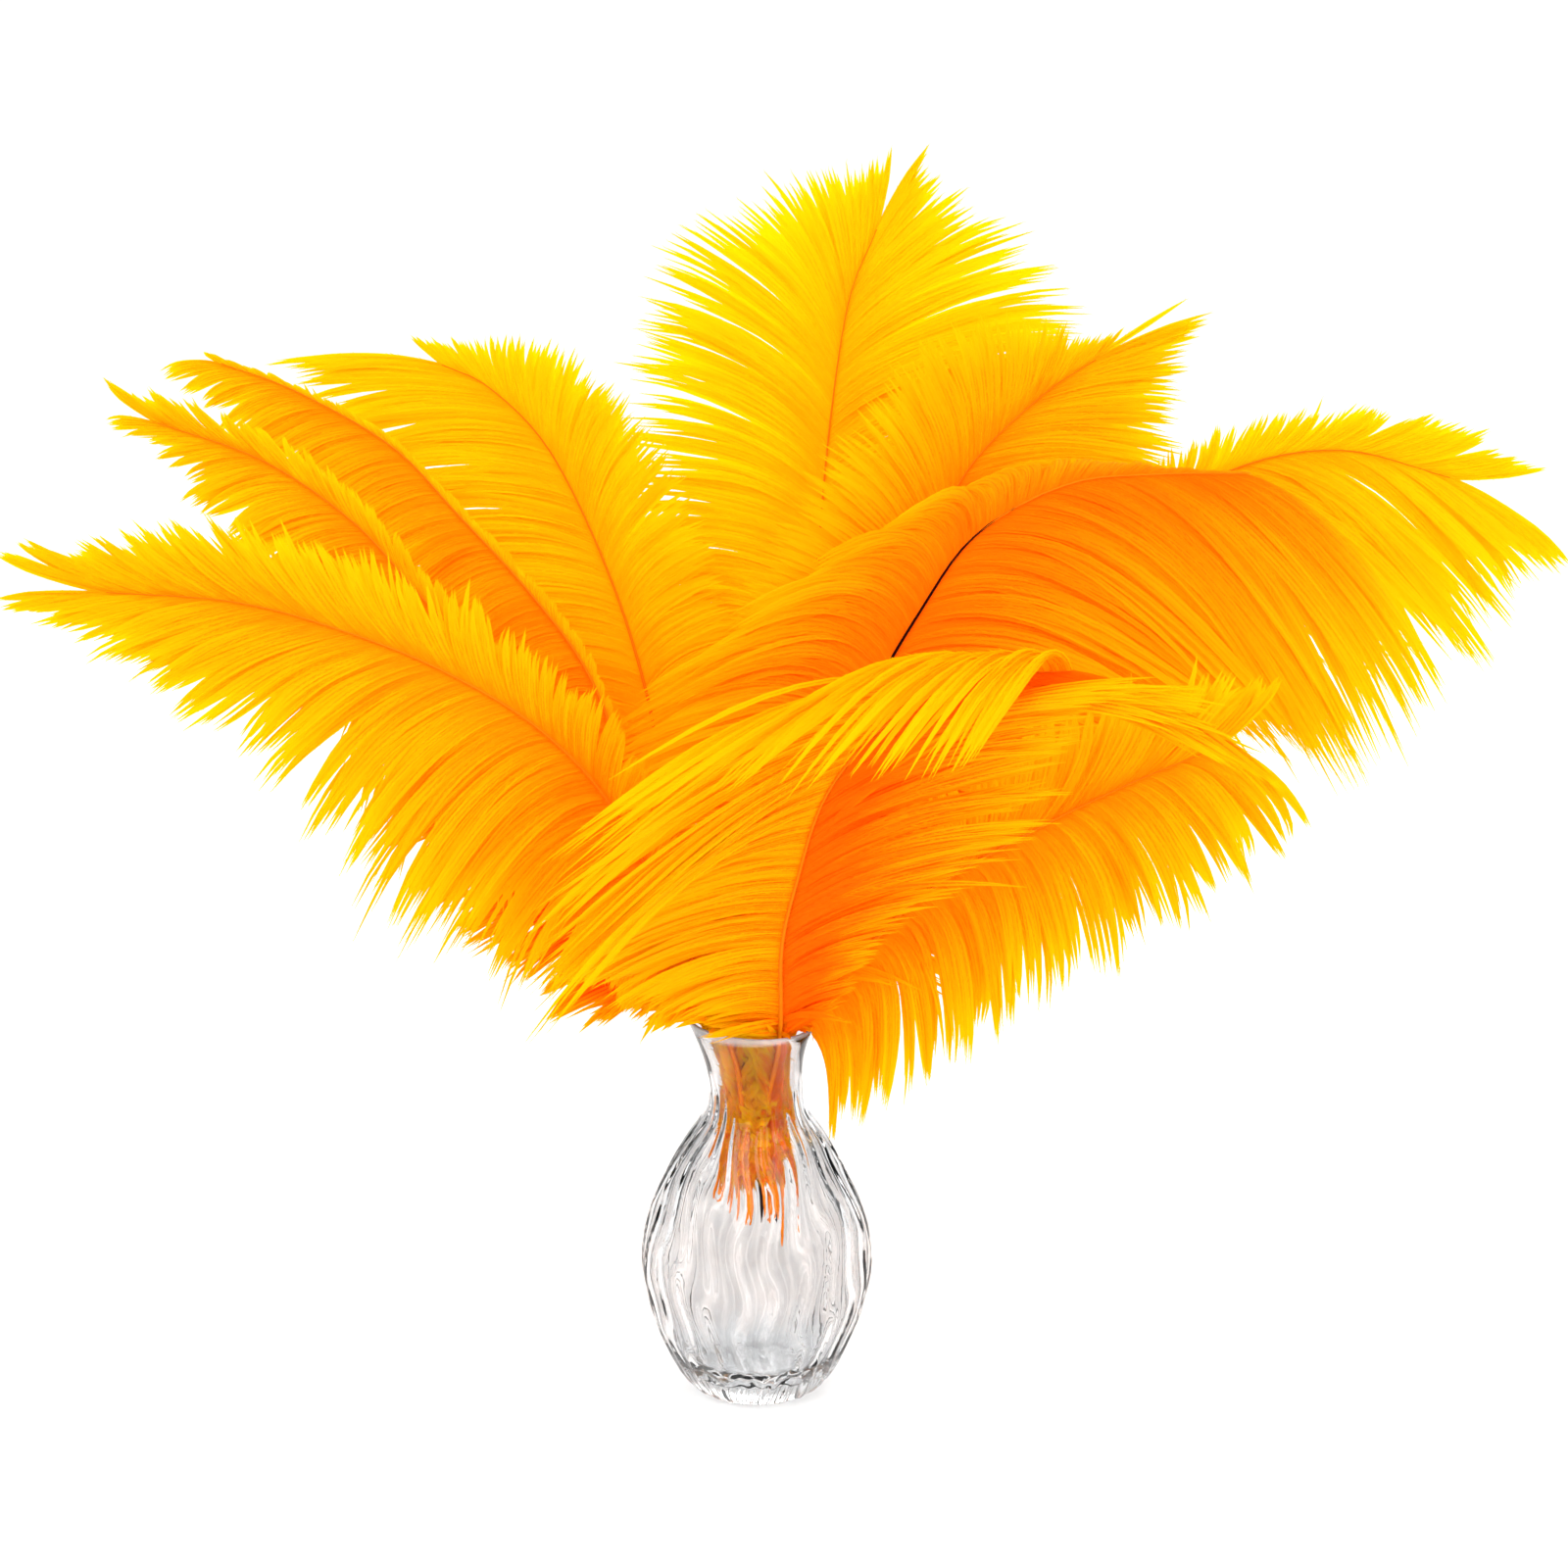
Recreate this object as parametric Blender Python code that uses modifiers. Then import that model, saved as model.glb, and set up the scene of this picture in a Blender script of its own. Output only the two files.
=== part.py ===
"""Eleven dyed ostrich plumes standing in a fluted clear-glass bud vase.

The vase stands on its flat foot, centred on the world origin, with +Z up and the plumes' front
towards -Y. Each plume is one closed body: a round quill that drops through the vase's neck,
flattening above the rim into a thin blade that reaches the tips of its barbs.

Sizes are in millimetres in the tables below and are scaled to metres as the meshes are made.
"""

import math

import bmesh
import bpy
from mathutils import Vector

MM = 0.001
COLLECTION = "ostrich_plumes_in_vase"

# ---- vase ----
VASE_HEIGHT = 137.4
# (radius, height) of the outer wall, foot to rim
VASE_WALL_POINTS = [
    (22.2, 0.0), (23.2, 0.9), (26.4, 4.0), (30.4, 10.4), (36.9, 25.5), (40.6, 40.0), (41.2, 50.0),
    (39.2, 63.0), (33.6, 77.5), (25.3, 93.0), (18.8, 103.0), (16.5, 112.0), (17.3, 121.5),
    (19.5, 129.5), (22.3, 136.6),
]
WALL_THICKNESS = 2.6
FLOOR_HEIGHT = 9.0
FLOOR_RADIUS = 20.0
# the inner wall starts here, where it is clear of the rounded corner of the floor
INNER_WALL_FROM = 14.0
INNER_ROWS = 11
RIM_SEGMENT = 0.8
# the turned wall's ends meet on the axis, and are merged within this distance
MERGE_DISTANCE = 0.01
FLUTES = 22
SEGMENTS_PER_FLUTE = 4
FLUTE_DEPTH = 0.8
# the flutes fade out between these heights, so that the mouth is plain
FLUTE_FADE = (100.0, 114.0)
# the mouth leans a little: its left side stands higher, and its centre is a little to the left
LEAN_FROM = 108.0
LEAN_DEGREES = 4.0
LEAN_SHIFT = 2.0

# ---- plumes ----
QUILL_RADIUS = 1.5
TIP_RADIUS = 0.4
BLADE_HALF_THICKNESS = 0.25
QUILL_SECTIONS = 8
VANE_SECTIONS = 15
SECTION_POINTS = 8
CURVE_STEPS = 40
SPINE_SAMPLES = 240
TURN_SAMPLES = 24           # samples each way that the direction is taken across
# a barb leaves its quill at this share of its final angle, and no wider than the limit
BARB_START_SHARE = 0.65
BARB_START_LIMIT = 58.0
BARB_START_REACH = 0.42
ANGLE_EASE = 1.3

# ---- colours: base colour, roughness, metallic, transmission ----
GLASS = ((0.95, 0.97, 0.97, 1.0), 0.05, 0.0, 1.0)
DYED_PLUME = ((1.0, 0.42, 0.0, 1.0), 0.85, 0.0, 0.0)


class Vane:
    """One side of a plume: how long its barbs are, and how they lie.

    Each value is given from the first barb to the last, as two numbers or four: length, angle
    from the quill in degrees, fold to the back of the plume in degrees, and droop as a share of
    the barb's length.
    """

    def __init__(self, lengths, angle, fold=(0.0, 0.0), droop=(0.0, 0.0)):
        self.lengths = lengths
        self.angle = angle
        self.fold = fold
        self.droop = droop


class Plume:
    """One plume: the points its quill passes, where its vane begins, and its two vanes."""

    def __init__(self, name, front, vane_from, left, right, spine):
        self.name = name
        self.front = Vector(front)
        self.vane_from = vane_from
        self.left = left
        self.right = right
        self.spine = spine


PLUMES = [
    Plume(
        "plume_top", (-0.1, -1.0, 0.25), 0.40,
        Vane((24, 70, 78, 22), (90, 80, 60, 8), droop=(0.1, 0.0)),
        Vane((30, 80, 90, 24), (88, 80, 62, 12), droop=(0.1, 0.0)),
        [(-2, 2, 74), (-1.5, 1.5, 108), (-3, 6, 137), (14, 40, 217), (21, 62, 279), (26, 78, 333),
         (33, 88, 378), (43, 94, 403)],
    ),
    Plume(
        "plume_upper_left", (0.1, -1.0, 0.2), 0.38,
        Vane((28, 80, 82, 54), (88, 78, 58, 26)),
        Vane((12, 40, 44, 18), (80, 70, 44, 12), droop=(0.0, 0.1)),
        [(-5, 5, 72), (-6, 5, 108), (-9, 11, 137), (-28, 33, 187), (-39, 44, 244), (-53, 52, 288),
         (-73, 59, 329), (-94, 62, 351), (-111, 64, 359)],
    ),
    Plume(
        "plume_left_high", (0.2, -1.0, 0.3), 0.34,
        Vane((25, 62, 46, 24), (130, 12), fold=(-20, -5), droop=(0.15, 0.25)),
        Vane((6, 8, 8, 9), (40, 8), fold=(-20, -5)),
        [(-7, 0, 70), (-6.5, 0, 108), (-11.5, 1.5, 137), (-43, 15, 216), (-58, 18, 257),
         (-78, 19, 286), (-103, 20, 314), (-125, 22, 337), (-158, 24, 356), (-183, 26, 365)],
    ),
    Plume(
        "plume_left_middle", (0.2, -1.0, 0.3), 0.34,
        Vane((25, 60, 44, 20), (125, 10), fold=(-20, -5), droop=(0.15, 0.1)),
        Vane((8, 12, 20, 27), (40, 14), fold=(-20, -5)),
        [(-10, -3, 66), (-9.5, -3.5, 108), (-14.5, -4.5, 137), (-44, -14, 204), (-70, -20, 251),
         (-108, -24, 290), (-132, -27, 319), (-162, -29, 341), (-196, -31, 354)],
    ),
    Plume(
        "plume_left_low", (0.2, -1.0, 0.4), 0.30,
        Vane((24, 64, 66, 36), (97, 8), fold=(-15, 0), droop=(0.3, 0.25, 0.0, 0.0)),
        Vane((12, 26, 42, 38), (60, 16), fold=(-10, 0)),
        [(-5, -8, 64), (-5, -8, 108), (-11, -12, 137), (-43, -40, 217), (-68, -52, 253),
         (-102, -62, 278), (-139, -70, 295), (-169, -76, 304), (-206, -82, 308)],
    ),
    Plume(
        "plume_lower_left", (0.0, -1.0, 0.3), 0.50,
        Vane((40, 55, 53, 36), (62, 18), droop=(0.0, 0.3)),
        Vane((8, 12, 12, 12), (70, 20), droop=(0.2, 0.2)),
        [(-13, 2, 68), (-11, 1.5, 108), (-15, 3, 137), (-32, 10, 158), (-53, 22, 178),
         (-74, 31, 194), (-95, 37, 206)],
    ),
    Plume(
        "plume_upper_right", (0.1, -1.0, 0.2), 0.40,
        Vane((22, 54, 48, 16), (85, 76, 48, 10)),
        Vane((22, 62, 72, 44), (85, 78, 54, 14)),
        [(3, 1.5, 70), (3, 1, 108), (8, 4, 137), (27, 22, 217), (55, 38, 284), (73, 46, 323),
         (99, 52, 349), (119, 56, 362)],
    ),
    Plume(
        "plume_right_arch", (0.1, -1.0, 0.3), 0.28,
        Vane((60, 88, 50, 10), (95, 60), fold=(0, -30), droop=(0.1, 1.1)),
        Vane((60, 110, 122, 82), (75, 25), droop=(0.1, 0.25, 0.6, 0.6)),
        [(2.5, -3, 62), (2, -3, 108), (4, -4, 137), (23, -3, 195), (38, -1, 249), (57, 1, 285),
         (76, 2, 311), (106, 0, 328), (135, -4, 332), (164, -8, 333)],
    ),
    Plume(
        "plume_far_right", (0.2, -1.0, 0.3), 0.40,
        Vane((15, 18, 22, 36), (60, 16)),
        Vane((30, 72, 84, 44), (76, 12), droop=(0.2, 0.35, 0.3, 0.1)),
        [(9, 3, 66), (8.5, 3, 108), (14, 6, 137), (44, 16, 190), (92, 24, 259), (132, 28, 307),
         (166, 30, 328), (203, 32, 334), (241, 34, 324)],
    ),
    Plume(
        "plume_front_fold", (0.0, -1.0, 0.3), 0.27,
        Vane((25, 72, 112, 30), (80, 70), fold=(0, -20), droop=(0.2, 0.9)),
        Vane((30, 95, 80, 75), (50, 35), droop=(0.0, 0.1)),
        [(4.5, -8.5, 66), (4, -8, 108), (8.5, -14, 137), (9, -44, 177), (14, -62, 206),
         (24, -78, 241), (44, -90, 268), (72, -98, 284), (100, -106, 288)],
    ),
    Plume(
        "plume_lower_right", (0.2, -1.0, 0.4), 0.39,
        Vane((15, 30, 40, 30), (60, 15), droop=(0.0, 0.1)),
        Vane((46, 46, 42, 37), (104, 35), droop=(0.35, 0.5)),
        [(9, -5, 54), (8, -5, 108), (13, -7, 137), (31, -12, 159), (57, -24, 190),
         (92, -38, 216), (124, -46, 235), (152, -52, 249)],
    ),
]


def clear_scene():
    """Remove every object, so that the model starts from an empty scene."""
    for thing in list(bpy.data.objects):
        bpy.data.objects.remove(thing, do_unlink=True)


def make_material(name, finish):
    """A Principled material with a plain colour, roughness, metallic value and transmission."""
    colour, roughness, metallic, transmission = finish
    material = bpy.data.materials.new(name)
    material.use_nodes = True
    shader = material.node_tree.nodes["Principled BSDF"]
    shader.inputs["Base Color"].default_value = colour
    shader.inputs["Roughness"].default_value = roughness
    shader.inputs["Metallic"].default_value = metallic
    shader.inputs["Transmission Weight"].default_value = transmission
    material.diffuse_color = colour
    return material


def spline_point(before, start, end, after, share):
    """A point between start and end on a smooth curve that also heeds both neighbours."""
    return 0.5 * (
        2 * start
        + (end - before) * share
        + (2 * before - 5 * start + 4 * end - after) * share ** 2
        + (3 * start - before - 3 * end + after) * share ** 3
    )


def smooth_curve(points, per_span):
    """Points on a smooth curve through the given ones, per_span of them from each to the next."""
    vectors = [Vector(p) for p in points]
    first = 2 * vectors[0] - vectors[1]
    last = 2 * vectors[-1] - vectors[-2]
    padded = [first, *vectors, last]
    curve = [
        spline_point(*padded[i : i + 4], step / per_span)
        for i in range(len(vectors) - 1)
        for step in range(per_span)
    ]
    return [*curve, vectors[-1]]


def evenly_spaced(curve, count):
    """count + 1 points at equal distances along a polyline."""
    travelled = [0.0]
    for here, there in zip(curve, curve[1:]):
        travelled.append(travelled[-1] + (there - here).length)
    spaced, i = [], 0
    for step in range(count + 1):
        target = travelled[-1] * step / count
        while i < len(curve) - 2 and travelled[i + 1] < target:
            i += 1
        share = (target - travelled[i]) / (travelled[i + 1] - travelled[i])
        spaced.append(curve[i].lerp(curve[i + 1], share))
    return spaced


def ease(share):
    """A share from 0 to 1 that starts and ends gently."""
    share = min(max(share, 0.0), 1.0)
    return share * share * (3 - 2 * share)


def along_vane(values, share, power=1.0):
    """A value at a share of the way up a vane, from its two values or its four.

    Two values change evenly, or later with a higher power. Four stand a third apart.
    """
    if len(values) == 2:
        return values[0] + (values[1] - values[0]) * share ** power
    stretch = min(int(share * 3), 2)
    rise = ease(share * 3 - stretch)
    return values[stretch] + (values[stretch + 1] - values[stretch]) * rise


# ---------------------------------------------------------------- vase


def outer_radius(height):
    """The outer wall's radius at a height."""
    for (r_low, z_low), (r_high, z_high) in zip(VASE_WALL_POINTS, VASE_WALL_POINTS[1:]):
        if z_low <= height <= z_high:
            return r_low + (r_high - r_low) * (height - z_low) / (z_high - z_low)
    return VASE_WALL_POINTS[-1][0]


def vase_profile():
    """The half outline: centre of the inner floor, up the inside, over the rim, down the outside."""
    rim_radius, rim_height = VASE_WALL_POINTS[-1]
    inner = [(0.0, FLOOR_HEIGHT), (FLOOR_RADIUS, FLOOR_HEIGHT)]
    for row in range(INNER_ROWS):
        height = INNER_WALL_FROM + (rim_height - INNER_WALL_FROM) * row / (INNER_ROWS - 1)
        inner.append((outer_radius(height) - WALL_THICKNESS, height))
    rim = [
        (rim_radius - WALL_THICKNESS + RIM_SEGMENT, VASE_HEIGHT),
        (rim_radius - RIM_SEGMENT, VASE_HEIGHT),
    ]
    return [*inner, *rim, *reversed(VASE_WALL_POINTS), (0.0, 0.0)]


def shape_vase_wall(mesh):
    """Press the flutes into the turned outer wall, and lean the mouth."""
    for vertex in mesh.vertices:
        x, y, z = (c / MM for c in vertex.co)
        radius = math.hypot(x, y)
        angle = math.atan2(y, x)
        if radius > outer_radius(z) - WALL_THICKNESS / 2:
            fade = 1 - ease((z - FLUTE_FADE[0]) / (FLUTE_FADE[1] - FLUTE_FADE[0]))
            wave = (math.cos(FLUTES * angle) - 1) / 2
            radius += FLUTE_DEPTH * fade * wave
        lean = ease((z - LEAN_FROM) / (VASE_HEIGHT - LEAN_FROM))
        x, y = radius * math.cos(angle), radius * math.sin(angle)
        z -= lean * x * math.tan(math.radians(LEAN_DEGREES))
        x -= lean * LEAN_SHIFT
        vertex.co = Vector((x, y, z)) * MM


def make_vase(collection):
    """The glass vase: a turned hollow body with a thick floor and 22 upright flutes."""
    points = [(r * MM, 0.0, z * MM) for r, z in vase_profile()]
    outline = bpy.data.meshes.new("vase_outline")
    outline.from_pydata(points, [(i, i + 1) for i in range(len(points) - 1)], [])
    turned = bpy.data.objects.new("vase_outline", outline)
    collection.objects.link(turned)
    screw = turned.modifiers.new("Turn", "SCREW")
    screw.axis = "Z"
    screw.steps = FLUTES * SEGMENTS_PER_FLUTE
    screw.render_steps = screw.steps
    screw.use_merge_vertices = True
    screw.merge_threshold = MERGE_DISTANCE * MM
    bpy.context.view_layer.update()
    depsgraph = bpy.context.evaluated_depsgraph_get()
    mesh = bpy.data.meshes.new_from_object(turned.evaluated_get(depsgraph))
    bpy.data.objects.remove(turned, do_unlink=True)
    shape_vase_wall(mesh)
    mesh.name = "vase"
    mesh.shade_smooth()
    vase = bpy.data.objects.new("vase", mesh)
    collection.objects.link(vase)
    mesh.materials.append(make_material("vase_glass", GLASS))
    return vase


# ---------------------------------------------------------------- plumes


class PlumeFrame:
    """A plume's quill as a smooth curve, with the frame of its vane at every point."""

    def __init__(self, plume):
        self.plume = plume
        self.curve = evenly_spaced(smooth_curve(plume.spine, CURVE_STEPS), SPINE_SAMPLES)

    def at(self, share):
        """Position, direction, left side and back of the plume, a share of the way up the vane.

        A share below 0 is on the bare quill.
        """
        start = self.plume.vane_from
        place = (start + (1 - start) * share) * SPINE_SAMPLES
        i = min(max(int(place), 1), SPINE_SAMPLES - 1)
        position = self.curve[i].lerp(self.curve[min(i + 1, SPINE_SAMPLES)], place - i)
        ahead = self.curve[min(i + TURN_SAMPLES, SPINE_SAMPLES)]
        direction = (ahead - self.curve[max(i - TURN_SAMPLES, 0)]).normalized()
        left = self.plume.front.cross(direction).normalized()
        return position, direction, left, direction.cross(left)

    def barb(self, share, side):
        """Root, middle and tip of the barb at a share of the vane; side is 1 left or -1 right."""
        vane = self.plume.left if side > 0 else self.plume.right
        root, direction, left, back = self.at(share)
        length = along_vane(vane.lengths, share)
        angle = math.radians(along_vane(vane.angle, share, ANGLE_EASE))
        fold = math.radians(along_vane(vane.fold, share))
        outwards = left * side * math.cos(fold) + back * math.sin(fold)
        first = min(angle * BARB_START_SHARE, math.radians(BARB_START_LIMIT))
        bend = root + BARB_START_REACH * length * (
            math.cos(first) * direction + math.sin(first) * outwards
        )
        tip = root + length * (math.cos(angle) * direction + math.sin(angle) * outwards)
        tip.z -= length * along_vane(vane.droop, share)
        return root, 0.25 * root + 0.5 * bend + 0.25 * tip, tip


def quill_section(frame, share):
    """A round section of the bare quill."""
    position, _, left, back = frame.at(share)
    turns = [2 * math.pi * k / SECTION_POINTS for k in range(SECTION_POINTS)]
    return [
        position + QUILL_RADIUS * (math.cos(a) * left - math.sin(a) * back) for a in turns
    ]


def vane_section(frame, share):
    """A flat section: the quill's ridge in the middle and a knife edge at each row of barb tips."""
    position, direction, _, back = frame.at(share)
    ridge = QUILL_RADIUS + (TIP_RADIUS - QUILL_RADIUS) * share
    sides = []
    for side in (1, -1):
        root, middle, tip = frame.barb(share, side)
        skin = direction.cross(tip - root).normalized() * side * BLADE_HALF_THICKNESS
        sides.append((middle, tip, skin))
    (left_mid, left_tip, left_skin), (right_mid, right_tip, right_skin) = sides
    return [
        left_tip, left_mid - left_skin, position - ridge * back, right_mid - right_skin,
        right_tip, right_mid + right_skin, position + ridge * back, left_mid + left_skin,
    ]


def end_point(frame):
    """Where the blade closes, level with the tips of the last barbs."""
    root, direction, _, _ = frame.at(1.0)
    reach = max((frame.barb(1.0, side)[2] - root).dot(direction) for side in (1, -1))
    return root + reach * direction


def loft(sections, start, end):
    """A closed mesh through flat sections of equal size, with a fan to a point at each end.

    The first half of a section's points is its front and the second half its back. Both are
    split along the same diagonals, so that a thin blade's two skins never cross where it twists.
    """
    shape = bmesh.new()
    rings = [[shape.verts.new(p * MM) for p in section] for section in sections]
    size = len(rings[0])
    for ring, following in zip(rings, rings[1:]):
        for k in range(size):
            after = (k + 1) % size
            if k < size // 2:
                shape.faces.new((ring[k], following[k], ring[after]))
                shape.faces.new((ring[after], following[k], following[after]))
            else:
                shape.faces.new((ring[k], following[k], following[after]))
                shape.faces.new((ring[k], following[after], ring[after]))
    first, last = shape.verts.new(start * MM), shape.verts.new(end * MM)
    for k in range(size):
        after = (k + 1) % size
        shape.faces.new((first, rings[0][k], rings[0][after]))
        shape.faces.new((last, rings[-1][after], rings[-1][k]))
    return shape


def make_plume(plume, collection):
    """One plume as a closed body: quill, ridge and both vanes."""
    frame = PlumeFrame(plume)
    bare = -plume.vane_from / (1 - plume.vane_from)
    sections = [quill_section(frame, bare * (1 - i / QUILL_SECTIONS)) for i in range(QUILL_SECTIONS)]
    sections += [vane_section(frame, i / (VANE_SECTIONS - 1)) for i in range(VANE_SECTIONS)]
    shape = loft(sections, frame.at(bare)[0], end_point(frame))
    mesh = bpy.data.meshes.new(plume.name)
    shape.to_mesh(mesh)
    shape.free()
    mesh.shade_smooth()
    body = bpy.data.objects.new(plume.name, mesh)
    collection.objects.link(body)
    mesh.materials.append(make_material(plume.name + "_dye", DYED_PLUME))
    return body


def main():
    """Build the vase and the plumes in one collection."""
    clear_scene()
    collection = bpy.data.collections.new(COLLECTION)
    bpy.context.scene.collection.children.link(collection)
    make_vase(collection)
    for plume in PLUMES:
        make_plume(plume, collection)


main()
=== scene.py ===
"""Eleven dyed ostrich plumes in a fluted clear-glass bud vase, dressed barb by barb.

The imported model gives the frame. The glass replaces its plain turned body, and every plume's solid
blade is replaced by its real make-up: a tapering quill, hundreds of soft barbs a side that gather
into pointed locks, and short barbules along every barb. Sizes in the classes are in millimetres.
"""

from __future__ import annotations

import logging
import math
from dataclasses import dataclass, field
from enum import Enum
from typing import Any, Sequence

import bpy
import numpy as np
from mathutils import Euler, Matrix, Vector


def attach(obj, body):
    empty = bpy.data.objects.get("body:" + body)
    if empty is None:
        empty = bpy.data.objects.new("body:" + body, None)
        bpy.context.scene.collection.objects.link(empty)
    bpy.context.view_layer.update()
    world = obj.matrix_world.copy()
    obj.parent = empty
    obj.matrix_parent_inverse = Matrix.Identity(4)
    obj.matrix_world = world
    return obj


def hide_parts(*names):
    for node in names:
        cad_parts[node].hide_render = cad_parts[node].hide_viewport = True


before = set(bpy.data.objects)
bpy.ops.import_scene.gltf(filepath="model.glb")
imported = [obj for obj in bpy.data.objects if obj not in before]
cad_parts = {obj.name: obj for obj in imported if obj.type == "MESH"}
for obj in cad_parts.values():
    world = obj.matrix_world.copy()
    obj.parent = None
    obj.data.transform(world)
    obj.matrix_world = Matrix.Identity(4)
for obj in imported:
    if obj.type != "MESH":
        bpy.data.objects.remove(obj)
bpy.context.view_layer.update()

LOG = logging.getLogger("plumes_in_vase")
MM = 0.001
UV_NAME = "OFBake"

Triple = tuple[float, float, float]
Pair = tuple[float, float]
Colour = tuple[float, float, float]


# ---------------------------------------------------------------- numbers


def unit(vectors: np.ndarray) -> np.ndarray:
    """The same vectors, along the last axis, each divided by its length."""
    return vectors / np.maximum(np.linalg.norm(vectors, axis=-1, keepdims=True), 1e-9)


def ease(share: np.ndarray | float) -> np.ndarray:
    """A share held between 0 and 1 that starts and ends gently."""
    share = np.clip(share, 0.0, 1.0)
    return share * share * (3 - 2 * share)


def smooth_line(points: np.ndarray, per_span: int) -> np.ndarray:
    """A smooth line through the given points.

    Args:
        points: the points it passes, one a row.
        per_span: how many steps there are from each point to the next.

    Returns:
        The points of the line, one a row.
    """
    padded = np.vstack([2 * points[0] - points[1], points, 2 * points[-1] - points[-2]])
    share = (np.arange(per_span) / per_span)[:, None]
    spans = []
    for before, start, end, after in zip(padded, padded[1:], padded[2:], padded[3:]):
        spans.append(0.5 * (
            2 * start
            + (end - before) * share
            + (2 * before - 5 * start + 4 * end - after) * share ** 2
            + (3 * start - before - 3 * end + after) * share ** 3
        ))
    return np.vstack([*spans, points[-1:]])


def evenly_spaced(line: np.ndarray, count: int) -> np.ndarray:
    """Points at equal distances along a line.

    Args:
        line: the line's points, one a row.
        count: the number of equal steps.

    Returns:
        count + 1 points.
    """
    steps = np.linalg.norm(np.diff(line, axis=0), axis=1)
    travelled = np.concatenate([[0.0], np.cumsum(steps)])
    targets = np.linspace(0.0, travelled[-1], count + 1)
    return np.stack([np.interp(targets, travelled, line[:, k]) for k in range(3)], axis=1)


def along_vane(values: Sequence[float], share: np.ndarray, power: float = 1.0) -> np.ndarray:
    """A value that changes up a vane.

    Args:
        values: two values, first barb and last, or four, with one at each third between them.
        share: the places up the vane, from 0 to 1.
        power: how late a pair's change comes.

    Returns:
        One value a place.
    """
    if len(values) == 2:
        return values[0] + (values[1] - values[0]) * share ** power
    table = np.array(values, dtype=float)
    stretch = np.minimum((share * 3).astype(int), 2)
    return table[stretch] + (table[stretch + 1] - table[stretch]) * ease(share * 3 - stretch)


# ---------------------------------------------------------------- blender data


def put(name: str, data: Any) -> bpy.types.Object:
    """Make an object of its data and put it in the scene.

    Args:
        name: the object's name.
        data: its mesh, lamp or lens.

    Returns:
        The object, at the origin.
    """
    made = bpy.data.objects.new(name, data)
    bpy.context.scene.collection.objects.link(made)
    return made


def store_columns(mesh: bpy.types.Mesh, columns: dict[str, np.ndarray]) -> None:
    """Store numbers, one a vertex, as named attributes of a mesh.

    Args:
        mesh: the mesh that gets them.
        columns: the numbers, or rows of three, by name.
    """
    for name, values in columns.items():
        kind, key = ("FLOAT", "value") if values.ndim == 1 else ("FLOAT_VECTOR", "vector")
        attribute = mesh.attributes.new(name, kind, "POINT")
        attribute.data.foreach_set(key, values.astype(np.float32).ravel())


# ---------------------------------------------------------------- node trees


class TreeMaker:
    """Adds nodes to one tree, so that each tree below reads as a recipe."""

    def __init__(self, tree: bpy.types.NodeTree) -> None:
        """Keep the tree that the nodes go into."""
        self.tree = tree

    def node(self, kind: str, inputs: dict[str | int, Any] | None = None, **settings: Any) -> Any:
        """Add one node.

        Args:
            kind: the node's type name.
            inputs: values or sockets for its inputs, by name or by place among the live ones.
            **settings: the node's own options.

        Returns:
            The new node.
        """
        made = self.tree.nodes.new(kind)
        for name, value in settings.items():
            setattr(made, name, value)
        live = [socket for socket in made.inputs if socket.enabled]
        for key, value in (inputs or {}).items():
            socket = live[key] if isinstance(key, int) else next(s for s in live if s.name == key)
            self.feed(socket, value)
        return made

    def feed(self, socket: Any, value: Any) -> None:
        """Link an input to a socket, or set it to a plain value.

        Args:
            socket: the input.
            value: the other node's output, or the plain value.
        """
        if isinstance(value, bpy.types.NodeSocket):
            self.tree.links.new(value, socket)
        else:
            socket.default_value = value

    def out(self, kind: str, inputs: dict[str | int, Any] | None = None, **settings: Any) -> Any:
        """Add one node and give its first live output."""
        made = self.node(kind, inputs, **settings)
        return next(socket for socket in made.outputs if socket.enabled)

    def math(self, operation: str, *values: Any) -> Any:
        """Add a Math node on numbers or sockets and give its answer."""
        return self.out("ShaderNodeMath", dict(enumerate(values)), operation=operation)

    def mix(self, share: Any, first: Any, second: Any, kind: str = "RGBA") -> Any:
        """Add a Mix node, whose share is how much of the second there is, and give its result."""
        return self.out("ShaderNodeMix", {0: share, 1: first, 2: second}, data_type=kind)

    def noise(self, where: Any, scale: float = 1.0, detail: float = 2.0) -> Any:
        """Add a noise texture and give its level, about 0.5 on the whole."""
        return self.out("ShaderNodeTexNoise", {"Vector": where, "Scale": scale, "Detail": detail})

    def vector(self, x: Any, y: Any, z: Any = 0.0) -> Any:
        """Add a node that puts three numbers together as a vector."""
        return self.out("ShaderNodeCombineXYZ", {0: x, 1: y, 2: z})

    def fit(
        self, value: Any, low: float, high: float, to_low: float = 0.0, to_high: float = 1.0,
    ) -> Any:
        """Add a node that maps low to to_low and high to to_high, and holds what is between."""
        return self.out("ShaderNodeMapRange", {0: value, 1: low, 2: high, 3: to_low, 4: to_high})


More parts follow.
